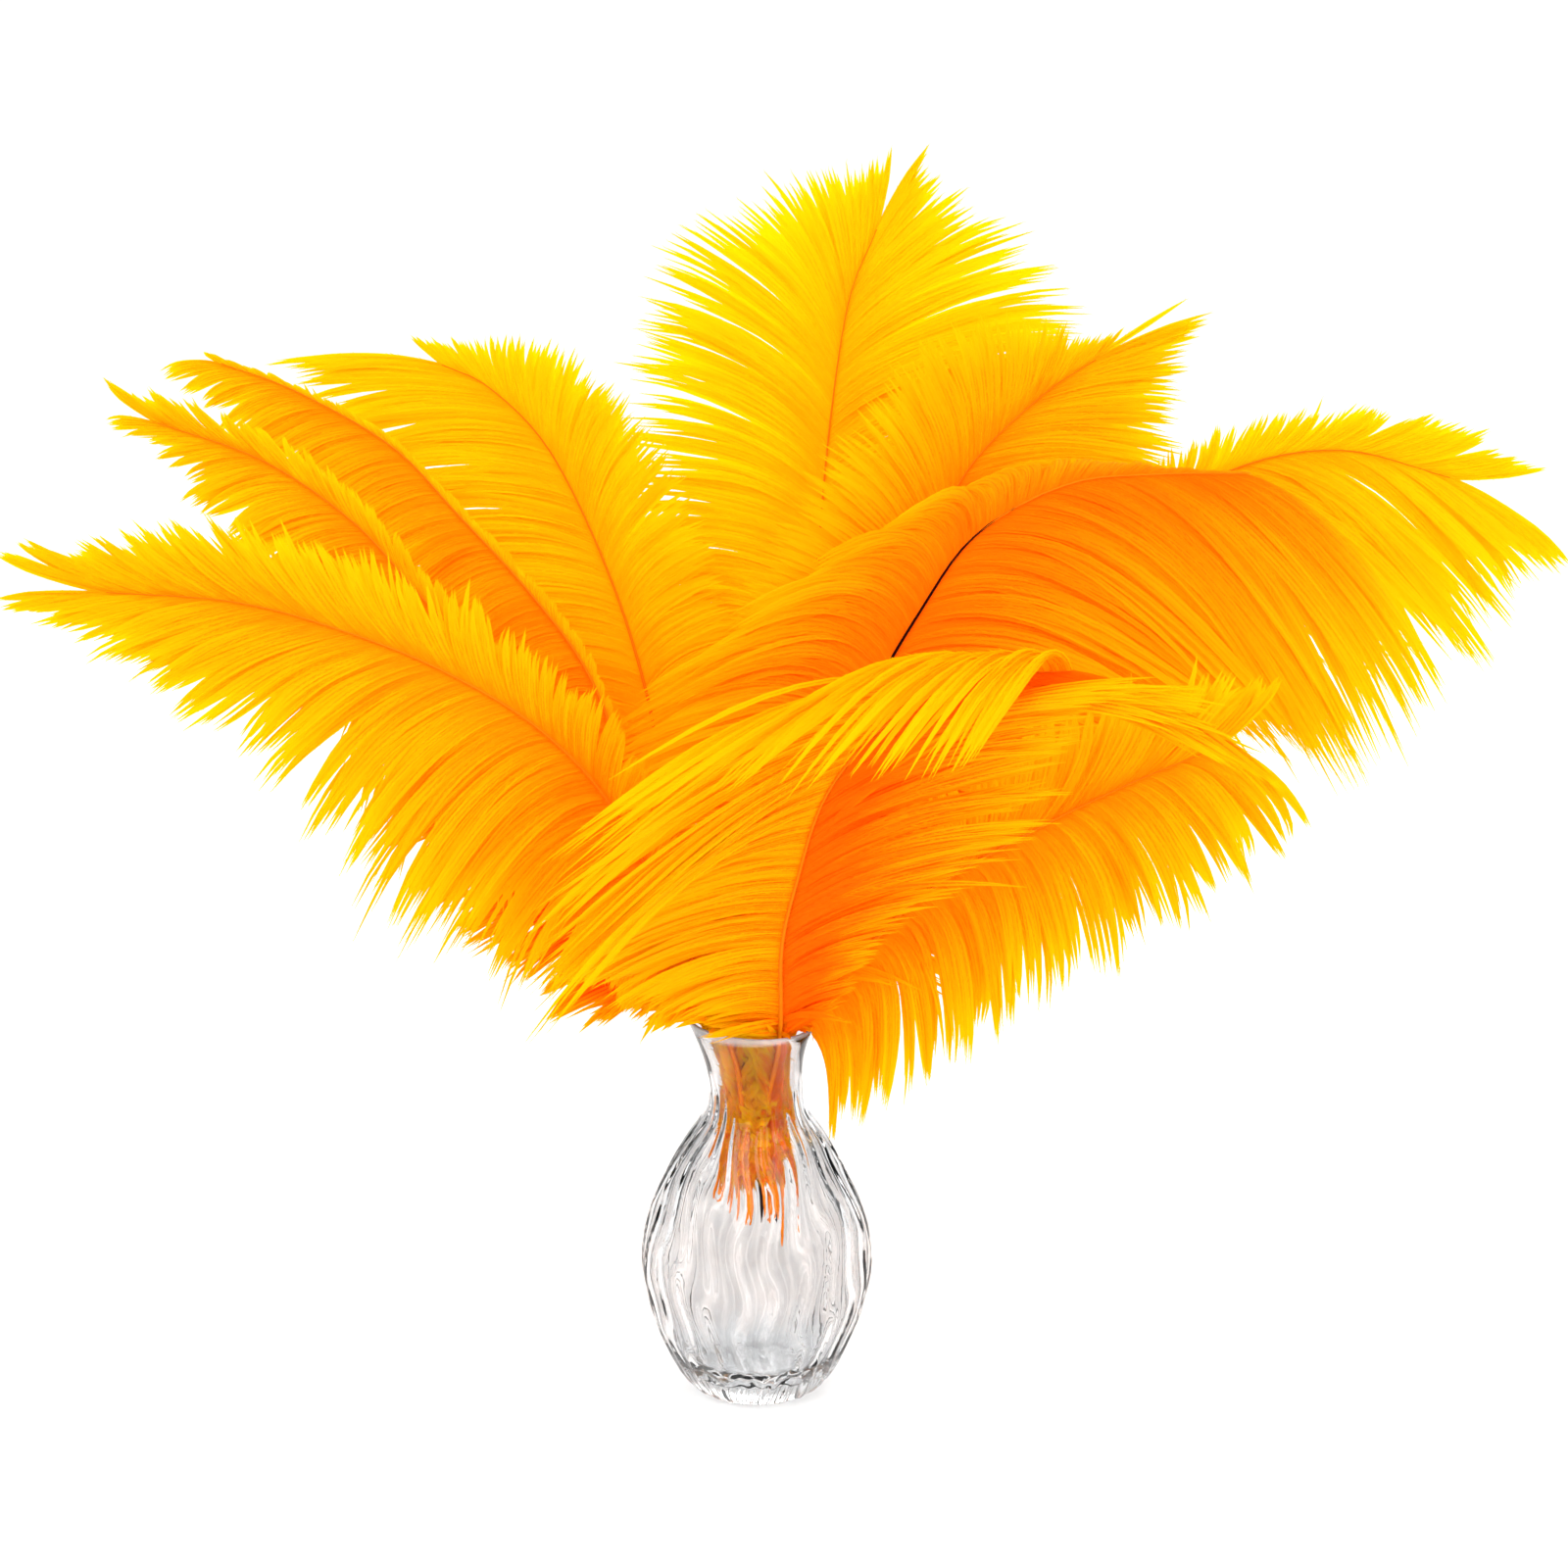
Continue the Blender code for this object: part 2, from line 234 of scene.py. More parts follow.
class GrowthTree(TreeMaker):
    """A Geometry Nodes tree with named inputs."""

    def __init__(self, name: str, sizes: dict[str, float], seed: int) -> None:
        """Start a tree.

        Args:
            name: the tree's name.
            sizes: its number inputs and their values.
            seed: the fixed seed of its random numbers.
        """
        super().__init__(bpy.data.node_groups.new(name, "GeometryNodeTree"))
        face = self.tree.interface
        face.new_socket("Geometry", in_out="INPUT", socket_type="NodeSocketGeometry")
        self.values: dict[str, Any] = {}
        for label, value in sizes.items():
            made = face.new_socket(label, in_out="INPUT", socket_type="NodeSocketFloat")
            self.values[made.identifier] = value
        made = face.new_socket("Seed", in_out="INPUT", socket_type="NodeSocketInt")
        self.values[made.identifier] = seed
        made = face.new_socket("Material", in_out="INPUT", socket_type="NodeSocketMaterial")
        self.material_input = made.identifier
        face.new_socket("Geometry", in_out="OUTPUT", socket_type="NodeSocketGeometry")
        self.given = {s.name: s for s in self.tree.nodes.new("NodeGroupInput").outputs if s.name}

    def attribute(self, name: str, kind: str = "FLOAT") -> Any:
        """Add a node that reads a named attribute."""
        return self.out("GeometryNodeInputNamedAttribute", {"Name": name}, data_type=kind)

    def store(
        self, shape: Any, name: str, value: Any, kind: str = "FLOAT", domain: str = "POINT",
    ) -> Any:
        """Add a node that stores a named attribute of a kind on a domain, and give the geometry."""
        inputs = {"Geometry": shape, "Name": name, "Value": value}
        return self.out("GeometryNodeStoreNamedAttribute", inputs, data_type=kind, domain=domain)

    def random(self, low: float, high: float, offset: int) -> Any:
        """Add a random number for each element; the offset keeps two of them apart."""
        inputs = {"Min": low, "Max": high, "Seed": self.math("ADD", self.given["Seed"], float(offset))}
        return self.out("FunctionNodeRandomValue", inputs, data_type="FLOAT")

    def finish(self, shape: Any) -> None:
        """End the tree: realize what is instanced, set the material and give the result.

        Args:
            shape: the last geometry's socket.
        """
        shape = self.out("GeometryNodeRealizeInstances", {"Geometry": shape})
        dressed = {"Geometry": shape, "Material": self.given["Material"]}
        shape = self.out("GeometryNodeSetMaterial", dressed)
        end = self.tree.nodes.new("NodeGroupOutput")
        self.tree.links.new(shape, end.inputs[0])

    def grow(self, guide: bpy.types.Mesh, name: str, material: bpy.types.Material) -> bpy.types.Object:
        """Run the tree on a guide mesh and keep the plain mesh that it gives.

        Args:
            guide: the mesh that the tree starts from.
            name: the finished piece's name.
            material: its material.

        Returns:
            The finished piece, at the origin, with no modifier.
        """
        carrier = put(name + "_guide", guide)
        modifier = carrier.modifiers.new("Grow", "NODES")
        modifier.node_group = self.tree
        for identifier, value in self.values.items():
            modifier[identifier] = value
        modifier[self.material_input] = material
        depsgraph = bpy.context.evaluated_depsgraph_get()
        mesh = bpy.data.meshes.new_from_object(carrier.evaluated_get(depsgraph))
        carrier.modifiers.remove(modifier)
        bpy.data.objects.remove(carrier, do_unlink=True)
        bpy.data.meshes.remove(guide)
        mesh.name = name
        return put(name, mesh)


# ---------------------------------------------------------------- finishes


def new_material(name: str) -> tuple[bpy.types.Material, TreeMaker]:
    """Start a material.

    Args:
        name: the material's name.

    Returns:
        The material, and the maker of its empty tree.
    """
    made = bpy.data.materials.new(name)
    made.use_nodes = True
    made.node_tree.nodes.clear()
    return made, TreeMaker(made.node_tree)


@dataclass(frozen=True)
class QuillFinish:
    """The horny quill: its colour, and how far up a dark stretch reaches, as a share."""

    colour: Colour = (0.92, 0.22, 0.0)
    streak_level: float = 0.7
    dark: Colour = (0.012, 0.0, 0.0)
    dark_to: float = 0.0
    dark_fade: float = 0.25


@dataclass(frozen=True)
class DyedBarb:
    """Dyed down and barbs: colours from the quill out to the tips, their deeper orange near the quill
    partly dye and partly painted shade, and how much light passes.

    The pattern runs on the plume's own UV map. Across it, u goes from the quill to a barb's tip:
    shafts lie in the first half, barbules in the second and the quill in the last strip. Up it,
    v goes along the plume, the left vane in one half and the right vane in the other.
    """

    # the root colour's deeper orange is partly dye and partly painted shade, where the barbs crowd at
    # the quill
    root: Colour = (0.98, 0.42, 0.0)
    middle: Colour = (0.98, 0.59, 0.0)
    outer: Colour = (0.98, 0.61, 0.0)
    tip: Colour = (0.98, 0.64, 0.0)
    quill: QuillFinish = field(default_factory=QuillFinish)
    barbule_shift: float = 0.06
    lock_variation: float = 0.35
    strand_variation: float = 0.7
    # the darker line of the shaft down the middle of each barb, as a fall in level
    shaft_line: float = 0.65
    # how far the left and right vanes' levels are raised, and how far the painted shade at the plume's
    # base lowers the level of the down and the lowest barbs
    vane_levels: Pair = (0.0, 0.0)
    painted_down_shade: float = 0.45
    translucent: float = 0.55
    roughness: float = 0.8
    specular: float = 0.06

    # where the four colours stand on the ramp, and how many locks and strands the noise draws
    STOPS = (0.02, 0.38, 0.72, 0.98)
    LOCKS = 70.0
    STRANDS = 520.0

    # the map's layout: starts and sizes of its strips
    ACROSS = (0.012, 0.476)
    # how far up the map the painted shade at the plume's base reaches
    PAINTED_SHADE_SHARE = 0.17
    SHAFT_U = (0.01, 0.46)
    BARBULE_U = (0.50, 0.45)
    BARBULE_FROM = 0.485
    LEAF_U, LEAF_ROOM, LEAF_V = 0.025, 0.03, 0.4
    QUILL_U = (0.955, 0.04)
    QUILL_V = (0.1, 0.8)
    QUILL_FROM = 0.95

    def material(self, name: str, seed: int, barbs: int) -> bpy.types.Material:
        """Make the material.

        Args:
            name: the material's name.
            seed: moves the noise, so that no two plumes share it.
            barbs: how many barbs each vane has.

        Returns:
            The material.
        """
        made, tree = new_material(name)
        place = tree.node("ShaderNodeSeparateXYZ", {0: tree.out("ShaderNodeUVMap", uv_map=UV_NAME)})
        u, v = place.outputs[0], place.outputs[1]
        is_barbule = tree.math("GREATER_THAN", u, self.BARBULE_FROM)
        is_quill = tree.math("GREATER_THAN", u, self.QUILL_FROM)
        on_shaft = tree.fit(u, self.SHAFT_U[0], sum(self.SHAFT_U))
        on_barbule = tree.fit(u, self.BARBULE_U[0], sum(self.BARBULE_U))
        along = tree.mix(is_barbule, on_shaft, on_barbule, "FLOAT")
        locks = self._stripes(tree, u=along, v=v, per_plume=self.LOCKS, along=1.6, seed=seed)
        strands = self._stripes(tree, u=along, v=v, per_plume=self.STRANDS, along=2.4, seed=seed + 40)
        level = tree.math("MULTIPLY_ADD", locks, self.lock_variation, along)
        level = tree.math("MULTIPLY_ADD", strands, self.strand_variation, level)
        level = tree.math("MULTIPLY_ADD", is_barbule, self.barbule_shift, level)
        low, size = self.ACROSS
        aside = tree.math("SUBTRACT", v, 0.5)
        out_from = tree.math("SUBTRACT", tree.math("ABSOLUTE", aside), low)
        barb = tree.math("MULTIPLY", out_from, barbs / size)
        off_line = tree.math("ABSOLUTE", tree.math("SUBTRACT", tree.math("FRACT", barb), 0.5))
        line = tree.fit(off_line, 0.05, 0.2, self.shaft_line, 0.0)
        line = tree.math("MULTIPLY", line, tree.fit(along, 0.5, 1.0, 1.0, 0.3))
        line = tree.math("MULTIPLY", line, tree.math("SUBTRACT", 1.0, is_barbule))
        level = tree.math("SUBTRACT", level, line)
        side = tree.mix(tree.math("LESS_THAN", v, 0.5), *self.vane_levels, "FLOAT")
        level = tree.math("ADD", level, side)
        # painted shade: the down and the lowest barbs turn deeper orange, most at the plume's base,
        # where they crowd in the vase's neck
        off_middle = tree.math("ABSOLUTE", aside)
        painted_base_shade = tree.fit(off_middle, low, low + self.PAINTED_SHADE_SHARE, self.painted_down_shade, 0.0)
        level = tree.math("SUBTRACT", level, painted_base_shade)
        ramp = tree.node("ShaderNodeValToRGB", {0: level})
        stops = ramp.color_ramp.elements
        first, second, third, last = self.STOPS
        stops[0].position, stops[0].color = first, (*self.root, 1.0)
        stops[1].position, stops[1].color = last, (*self.tip, 1.0)
        for position, colour in ((second, self.middle), (third, self.outer)):
            stops.new(position).color = (*colour, 1.0)
        quill = self._quill_colour(tree, u, v, seed)
        colour = tree.mix(is_quill, ramp.outputs[0], quill)
        body = tree.out("ShaderNodeBsdfPrincipled", {
            "Base Color": colour, "Roughness": self.roughness, "Specular IOR Level": self.specular})
        glow = tree.out("ShaderNodeBsdfTranslucent", {"Color": colour})
        passing = tree.math("MULTIPLY", tree.math("SUBTRACT", 1.0, is_quill), self.translucent)
        shader = tree.out("ShaderNodeMixShader", {0: passing, 1: body, 2: glow})
        tree.node("ShaderNodeOutputMaterial", {"Surface": shader})
        return made

    @staticmethod
    def _stripes(tree: TreeMaker, u: Any, v: Any, per_plume: float, along: float, seed: int) -> Any:
        """Noise drawn out along the barbs, about 0 on the whole.

        Args:
            tree: where the nodes go.
            u: the place along a barb.
            v: the place up the plume.
            per_plume: how many stripes the map has from end to end.
            along: how often each changes along its length.
            seed: moves the noise.

        Returns:
            A number from about -0.5 to 0.5.
        """
        stripe, change = tree.math("MULTIPLY", v, per_plume), tree.math("MULTIPLY", u, along)
        noise = tree.noise(tree.vector(stripe, change, seed * 3.7))
        return tree.math("SUBTRACT", noise, 0.5)

    def _quill_colour(self, tree: TreeMaker, u: Any, v: Any, seed: int) -> Any:
        """The quill's colour, with its dark stretch and faint streaks.

        Args:
            tree: where the nodes go.
            u: the map's u.
            v: the map's v.
            seed: the noise's place.

        Returns:
            The colour's socket.
        """
        up = tree.fit(u, self.QUILL_U[0], sum(self.QUILL_U))
        noise = tree.noise(
            tree.vector(tree.math("MULTIPLY", up, 60.0), tree.math("MULTIPLY", v, 9.0), seed * 1.3))
        deeper = [c * self.quill.streak_level for c in self.quill.colour]
        streaked = tree.mix(noise, (*deeper, 1.0), (*self.quill.colour, 1.0))
        edge = tree.math("MULTIPLY_ADD", tree.math("SUBTRACT", noise, 0.5), self.quill.dark_fade, up)
        dark = tree.fit(edge, self.quill.dark_to, self.quill.dark_to + 0.04, 1.0, 0.0)
        if self.quill.dark_to <= 0:
            return streaked
        return tree.mix(dark, streaked, (*self.quill.dark, 1.0))


class Dye(Enum):
    """The dye lots in the bunch, palest first; their deeper orange near the quill is partly painted
    shade.
    """

    SUNNY = DyedBarb(
        root=(0.98, 0.56, 0.0), middle=(0.98, 0.67, 0.0), outer=(0.98, 0.66, 0.0), tip=(0.98, 0.64, 0.0))
    GOLDEN = DyedBarb()
    FOLDED = DyedBarb(
        root=(0.98, 0.27, 0.0), middle=(0.98, 0.54, 0.0), outer=(0.98, 0.63, 0.0), tip=(0.98, 0.66, 0.0),
        vane_levels=(0.5, -0.3), painted_down_shade=0.9)
    # the arch's lot: its deep orange near the quill is partly dye and partly painted shade in the arch's
    # crowded middle
    AMBER = DyedBarb(
        root=(0.98, 0.29, 0.0), middle=(0.98, 0.46, 0.0), outer=(0.98, 0.59, 0.0), tip=(0.98, 0.65, 0.0),
        quill=QuillFinish(dark_to=0.74), strand_variation=0.5, shaft_line=0.3)
    EMBER = DyedBarb(
        root=(0.95, 0.12, 0.0), middle=(0.98, 0.22, 0.0), outer=(0.98, 0.36, 0.0), tip=(0.98, 0.54, 0.0))


@dataclass(frozen=True)
class ClearGlass:
    """Pressed soda glass: clear, polished, with the faint unevenness of the mould, and a painted
    reflection of white streaks and ridge lines.
    """

    colour: Colour = (0.74, 0.75, 0.76)
    # a painted reflection: white streaks drawn up the glass, with their stretch, scale and the noise
    # levels they span
    painted_reflection: Colour = (1.0, 1.0, 1.0)
    painted_streak_size: Triple = (1.0, 1.0, 0.16)
    painted_streak_scale: float = 120.0
    painted_streak_range: Pair = (0.50, 0.66)
    # how strong the painted highlight along each flute's ridge is, how narrow, and where it fades out
    painted_ridge_highlight: float = 0.8
    ridge_power: float = 5.0
    painted_ridge_fade: Pair = (0.10, 0.112)
    # the tint of reflections in the belly and in the neck, and where one becomes the other
    sheen: Pair = (0.7, 0.2)
    sheen_fade: Pair = (0.094, 0.110)
    ior: float = 1.5
    roughness: float = 0.0
    # the fire-polished lip is a little hazy, from this height up
    lip_haze: float = 0.32
    lip_fade: Pair = (0.1338, 0.1358)
    ripple_size: Triple = (1.0, 1.0, 0.35)
    ripple_scale: float = 90.0
    ripple: float = 0.25
    ripple_depth: float = 0.0004

    def material(self, name: str) -> bpy.types.Material:
        """Make the material.

        Args:
            name: the material's name.

        Returns:
            The material.
        """
        made, tree = new_material(name)
        place = tree.node("ShaderNodeTexCoord").outputs["Object"]
        squeezed = tree.out("ShaderNodeMapping", {"Vector": place, "Scale": self.ripple_size})
        bump = tree.out("ShaderNodeBump", {
            "Strength": self.ripple, "Distance": self.ripple_depth,
            "Height": tree.noise(squeezed, self.ripple_scale, 1.0)})
        # painted reflection: stretched noise gives white streaks up the grey glass
        drawn = tree.out("ShaderNodeMapping", {"Vector": place, "Scale": self.painted_streak_size})
        streaks = tree.fit(tree.noise(drawn, self.painted_streak_scale), *self.painted_streak_range)
        x, y, height = tree.node("ShaderNodeSeparateXYZ", {0: place}).outputs
        angle = tree.math("ARCTAN2", y, x)
        sway = (Vase.flute_sway, Vase.sway_height * MM)
        ridges = flute_ridges(tree, angle, height, *sway, self.ridge_power)
        # painted highlight: a white line along each flute's ridge, which fades out in the neck
        fading = tree.fit(height, *self.painted_ridge_fade, self.painted_ridge_highlight, 0.0)
        white = tree.math("MAXIMUM", streaks, tree.math("MULTIPLY", ridges, fading))
        colour = tree.mix(white, (*self.colour, 1.0), (*self.painted_reflection, 1.0))
        tint = tree.fit(height, *self.sheen_fade, *self.sheen)
        sheen = tree.out("ShaderNodeCombineColor", {0: tint, 1: tint, 2: tint})
        clear = tree.fit(height, *self.lip_fade, 1.0, 1.0 - self.lip_haze)
        glass = tree.out("ShaderNodeBsdfPrincipled", {
            "Base Color": colour, "Roughness": self.roughness, "IOR": self.ior,
            "Specular Tint": sheen, "Transmission Weight": clear, "Normal": bump})
        tree.node("ShaderNodeOutputMaterial", {"Surface": glass})
        return made


@dataclass(frozen=True)
class StudioPaper:
    """The pale paper that the vase stands on."""

    level: float = 0.80
    roughness: float = 0.9
    grain_scale: float = 260.0
    grain: float = 0.015

    def material(self, name: str) -> bpy.types.Material:
        """Make the material.

        Args:
            name: the material's name.

        Returns:
            The material.
        """
        made, tree = new_material(name)
        place = tree.node("ShaderNodeTexCoord").outputs["Object"]
        noise = tree.noise(place, self.grain_scale)
        level = tree.fit(noise, 0.3, 0.7, self.level - self.grain, self.level)
        colour = tree.out("ShaderNodeCombineColor", {0: level, 1: level, 2: level})
        paper = tree.out("ShaderNodeBsdfPrincipled", {
            "Base Color": colour, "Roughness": self.roughness, "Specular IOR Level": 0.1})
        tree.node("ShaderNodeOutputMaterial", {"Surface": paper})
        return made


# ---------------------------------------------------------------- vase


def flute_ridges(t: TreeMaker, angle: Any, height: Any, sway: Any, sway_height: Any, power: Any) -> Any:
    """Add the nodes for the pressed flutes' ridges, which swing to and fro as they climb.

    Args:
        t: where the nodes go.
        angle: the place round the vase.
        height: the place up the vase.
        sway: how far they swing, as an angle.
        sway_height: the height of one whole swing.
        power: how narrow the ridges are.

    Returns:
        A number from 0 in a flute to 1 on a ridge.
    """
    turn = t.math("MULTIPLY", t.math("DIVIDE", height, sway_height), 2 * math.pi)
    drift = t.math("SINE", t.math("MULTIPLY", angle, Vase.drift_waves))
    drift = t.math("MULTIPLY", drift, Vase.drift_size)
    swayed = t.math("MULTIPLY_ADD", t.math("SINE", t.math("ADD", turn, drift)), sway, angle)
    wave = t.math("COSINE", t.math("MULTIPLY", swayed, float(Vase.flutes)))
    return t.math("POWER", t.math("MULTIPLY_ADD", wave, 0.5, 0.5), power)


@dataclass
class Vase:
    """The bud vase: a thick foot, a belly pressed with wavy flutes, and a leaning flared mouth."""

    height: float = 137.4
    # (radius, height) of the outer wall, foot to rim
    wall: tuple[Pair, ...] = (
        (22.2, 0.0), (23.2, 0.9), (26.4, 4.0), (30.4, 10.4), (36.9, 25.5), (40.6, 40.0), (41.2, 50.0),
        (39.2, 63.0), (33.6, 77.5), (25.3, 93.0), (18.8, 103.0), (16.5, 112.0), (17.3, 121.5),
        (19.5, 129.5), (22.3, 136.6),
    )
    thickness: float = 2.6
    lip: float = 1.5
    floor_height: float = 9.0
    floor_radius: float = 20.0
    inner_from: float = 14.0
    flutes: int = 22
    segments_per_flute: int = 12
    flute_depth: float = 1.2
    ridge_power: float = 2.2
    flute_fade: Pair = (100.0, 114.0)
    flute_sway: float = 0.055
    sway_height: float = 33.0
    # the sway starts at another height round the vase: how often that repeats, and by how much
    drift_waves: float = 3.0
    drift_size: float = 2.2
    scallop: float = 0.9
    lean_from: float = 108.0
    lean_degrees: float = 4.0
    lean_shift: float = 2.0
    rows: int = 34

    def outer_radius(self, height: np.ndarray) -> np.ndarray:
        """The outer wall's radius at each height."""
        radii, heights = zip(*self.wall)
        return np.interp(height, heights, radii)

    def lean(self, height: np.ndarray) -> np.ndarray:
        """How much of the mouth's lean applies at each height, from 0 to 1."""
        return ease((height - self.lean_from) / (self.height - self.lean_from))

    def smooth_wall(self) -> np.ndarray:
        """The outer wall as a smooth line from foot to rim, (radius, 0, height) a row."""
        points = np.array([(r, 0.0, z) for r, z in self.wall[2:]])
        return evenly_spaced(smooth_line(points, 12), self.rows)

    def profile(self) -> np.ndarray:
        """The half outline, from the centre of the inner floor, over the rim, to the foot's centre.

        Returns:
            One row a point: radius, height, flute depth, scallop.
        """
        wall = self.smooth_wall()
        radii, heights = wall[:, 0], wall[:, 2]
        rim_radius, rim_height = self.wall[-1]
        rows: list[Sequence[float]] = [(0.0, self.floor_height, 0.0, 0.0)]
        rows += [(r, self.floor_height, 0.0, 0.0) for r in (8.0, 14.0, 17.5)]
        rows += [(self.floor_radius, self.floor_height + 0.25, 0.0, 0.7)]
        rows += [(22.6, 10.2, 0.1, 1.0), (24.8, 11.9, 0.15, 0.6)]
        for radius, height in zip(radii, heights):
            if self.inner_from <= height <= rim_height:
                thick = float(np.interp(height, (116.0, rim_height), (self.thickness, self.lip)))
                rows.append((radius - thick, height, 0.30 * self.fluting(height), 0.0))
        half, middle = self.lip / 2, rim_radius - self.lip / 2
        for turn in np.radians([150, 120, 90, 60, 30]):
            rows.append((middle + half * math.cos(turn), rim_height + 0.8 * math.sin(turn), 0.0, 0.0))
        for radius, height in zip(radii[::-1], heights[::-1]):
            rows.append((radius, height, self.fluting(height), 0.0))
        rows += [(23.9, 1.5, 0.8, 0.0), (22.8, 0.5, 0.6, 0.0), (21.6, 0.0, 0.4, 0.0)]
        rows += [(r, 0.0, 0.0, 0.0) for r in (18.0, 10.0, 0.0)]
        return np.array(rows)

    def fluting(self, height: float) -> float:
        """How deep the flutes are at a height, from 0 to 1."""
        low, high = self.flute_fade
        return float(1 - ease((height - low) / (high - low)))

    def guide(self) -> bpy.types.Mesh:
        """The outline as loose points, for the tree to turn.

        Returns:
            The mesh, with its flute depth, scallop and lean as attributes.
        """
        rows = self.profile()
        mesh = bpy.data.meshes.new("vase_outline")
        mesh.from_pydata([(r * MM, 0.0, z * MM) for r, z, _, _ in rows], [], [])
        store_columns(mesh, {"flute": rows[:, 2], "scallop": rows[:, 3], "lean": self.lean(rows[:, 1])})
        return mesh

    def tree(self) -> GrowthTree:
        """The tree that turns the outline and presses the flutes.

        Returns:
            The tree, ready to grow.
        """
        sizes = {
            "Flute Depth": self.flute_depth * MM, "Scallop": self.scallop * MM,
            "Sway": self.flute_sway, "Sway Height": self.sway_height * MM,
            "Lean Slope": math.tan(math.radians(self.lean_degrees)), "Lean Shift": self.lean_shift * MM,
            "Ridge Power": self.ridge_power,
        }
        t = GrowthTree("pressed_vase", sizes, seed=1)
        outline = t.given["Geometry"]
        around = self.flutes * self.segments_per_flute
        count = len(self.profile())
        grid = t.node("GeometryNodeMeshGrid", {
            "Size X": 1.0, "Size Y": 1.0, "Vertices X": around + 1, "Vertices Y": count})
        index = t.out("GeometryNodeInputIndex")
        column = t.math("FLOOR", t.math("DIVIDE", t.math("ADD", index, 0.5), float(count)))
        row = t.math("SUBTRACT", index, t.math("MULTIPLY", column, float(count)))

        def sample(value: Any, kind: str = "FLOAT") -> Any:
            """Read a value of the outline at this vertex's row.

            Args:
                value: the value's socket on the outline.
                kind: its data type.

            Returns:
                The socket of the value at the row.
            """
            return t.out(
                "GeometryNodeSampleIndex", {"Geometry": outline, "Value": value, "Index": row},
                data_type=kind, domain="POINT")

        spot = sample(t.out("GeometryNodeInputPosition"), "FLOAT_VECTOR")
        radius, _, height = t.node("ShaderNodeSeparateXYZ", {0: spot}).outputs
        flute, scallop, lean = (sample(t.attribute(name)) for name in ("flute", "scallop", "lean"))
        wrapped = t.math("MODULO", column, float(around))
        angle = t.math("MULTIPLY", wrapped, 2 * math.pi / around)
        given = t.given
        sway = (given["Sway"], given["Sway Height"])
        ridge = flute_ridges(t, angle, height, *sway, given["Ridge Power"])
        dip = t.math("SUBTRACT", ridge, 1.0)
        pressed = t.math("MULTIPLY", t.math("MULTIPLY", dip, flute), given["Flute Depth"])
        radius = t.math("MAXIMUM", t.math("ADD", radius, pressed), 0.0)
        lobes = t.math("COSINE", t.math("MULTIPLY", angle, float(self.flutes // 2)))
        lift = t.math("MULTIPLY", t.math("MULTIPLY", lobes, scallop), given["Scallop"])
        height = t.math("ADD", height, lift)
        x = t.math("MULTIPLY", radius, t.math("COSINE", angle))
        y = t.math("MULTIPLY", radius, t.math("SINE", angle))
        drop = t.math("MULTIPLY", t.math("MULTIPLY", lean, x), given["Lean Slope"])
        x = t.math("SUBTRACT", x, t.math("MULTIPLY", lean, given["Lean Shift"]))
        place = t.vector(x, y, t.math("SUBTRACT", height, drop))
        shape = t.out("GeometryNodeSetPosition", {"Geometry": grid.outputs[0], "Position": place})
        shape = t.out("GeometryNodeMergeByDistance", {"Geometry": shape, "Distance": 1e-6})
        t.finish(t.out("GeometryNodeSetShadeSmooth", {"Geometry": shape}))
        return t

    def build(self) -> bpy.types.Object:
        """Make the glass.

        Returns:
            The finished vase.
        """
        piece = self.tree().grow(self.guide(), "glass_vase", ClearGlass().material("clear_glass"))
        mesh = piece.data
        outward = sum(p.normal.dot(p.center) * p.area for p in mesh.polygons)
        if outward < 0:
            mesh.flip_normals()
        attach(piece, "root")
        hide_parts("vase")
        return piece


# ---------------------------------------------------------------- plumes


@dataclass(frozen=True)
class Vane:
    """One side of a plume, each value given from its first barb to its last, as two or four numbers.

    Angles are from the quill, folds are towards the plume's front, and droop is a share of length.
    """

    lengths: Sequence[float]
    angle: Sequence[float]
    fold: Sequence[float] = (0.0, 0.0)
    droop: Sequence[float] = (0.0, 0.0)
    # the widest angle at which its barbs leave the quill, and their leaving angle as a share
    spread: float = 58.0
    leaving: float = 0.65


@dataclass(frozen=True)
class Grooming:
    """How a plume's barbs lie: how they gather into locks, curl and stray."""

    lock_size: tuple[int, int] = (5, 12)
    pull: Pair = (0.1, 0.55)
    pull_power: float = 4.5
    strand_size: tuple[int, int] = (2, 3)
    strand_pull: float = 0.28
    strand_power: float = 1.0
    lock_angle: float = 2.4
    lock_fold: float = 6.0
    lock_length: float = 0.08
    barb_angle: float = 2.4
    barb_length: float = 0.14
    curl: float = 0.07
    wave: float = 0.014
    stray: float = 0.03


@dataclass(frozen=True)
class Plume:
    """One plume: where its quill runs, where its vane begins, its two vanes, its dye and its lie."""

    name: str
    front: Triple
    vane_from: float
    left: Vane
    right: Vane
    spine: tuple[Triple, ...]
    dye: Dye = Dye.GOLDEN
    grooming: Grooming = Grooming()


SOFT = Grooming(
    lock_size=(4, 10), pull=(0.0, 0.3), lock_angle=0.5, lock_fold=2.5, lock_length=0.03, barb_angle=1.5,
    curl=0.04, wave=0.009)
COMBED = Grooming(
    lock_size=(4, 9), pull=(0.0, 0.35), lock_angle=0.6, lock_fold=2.5, lock_length=0.04, barb_angle=1.6,
    wave=0.010, stray=0.02)
LOOSE = Grooming(
    lock_size=(6, 14), pull=(0.2, 0.7), lock_angle=3.0, lock_fold=10.0, lock_length=0.10, curl=0.11)

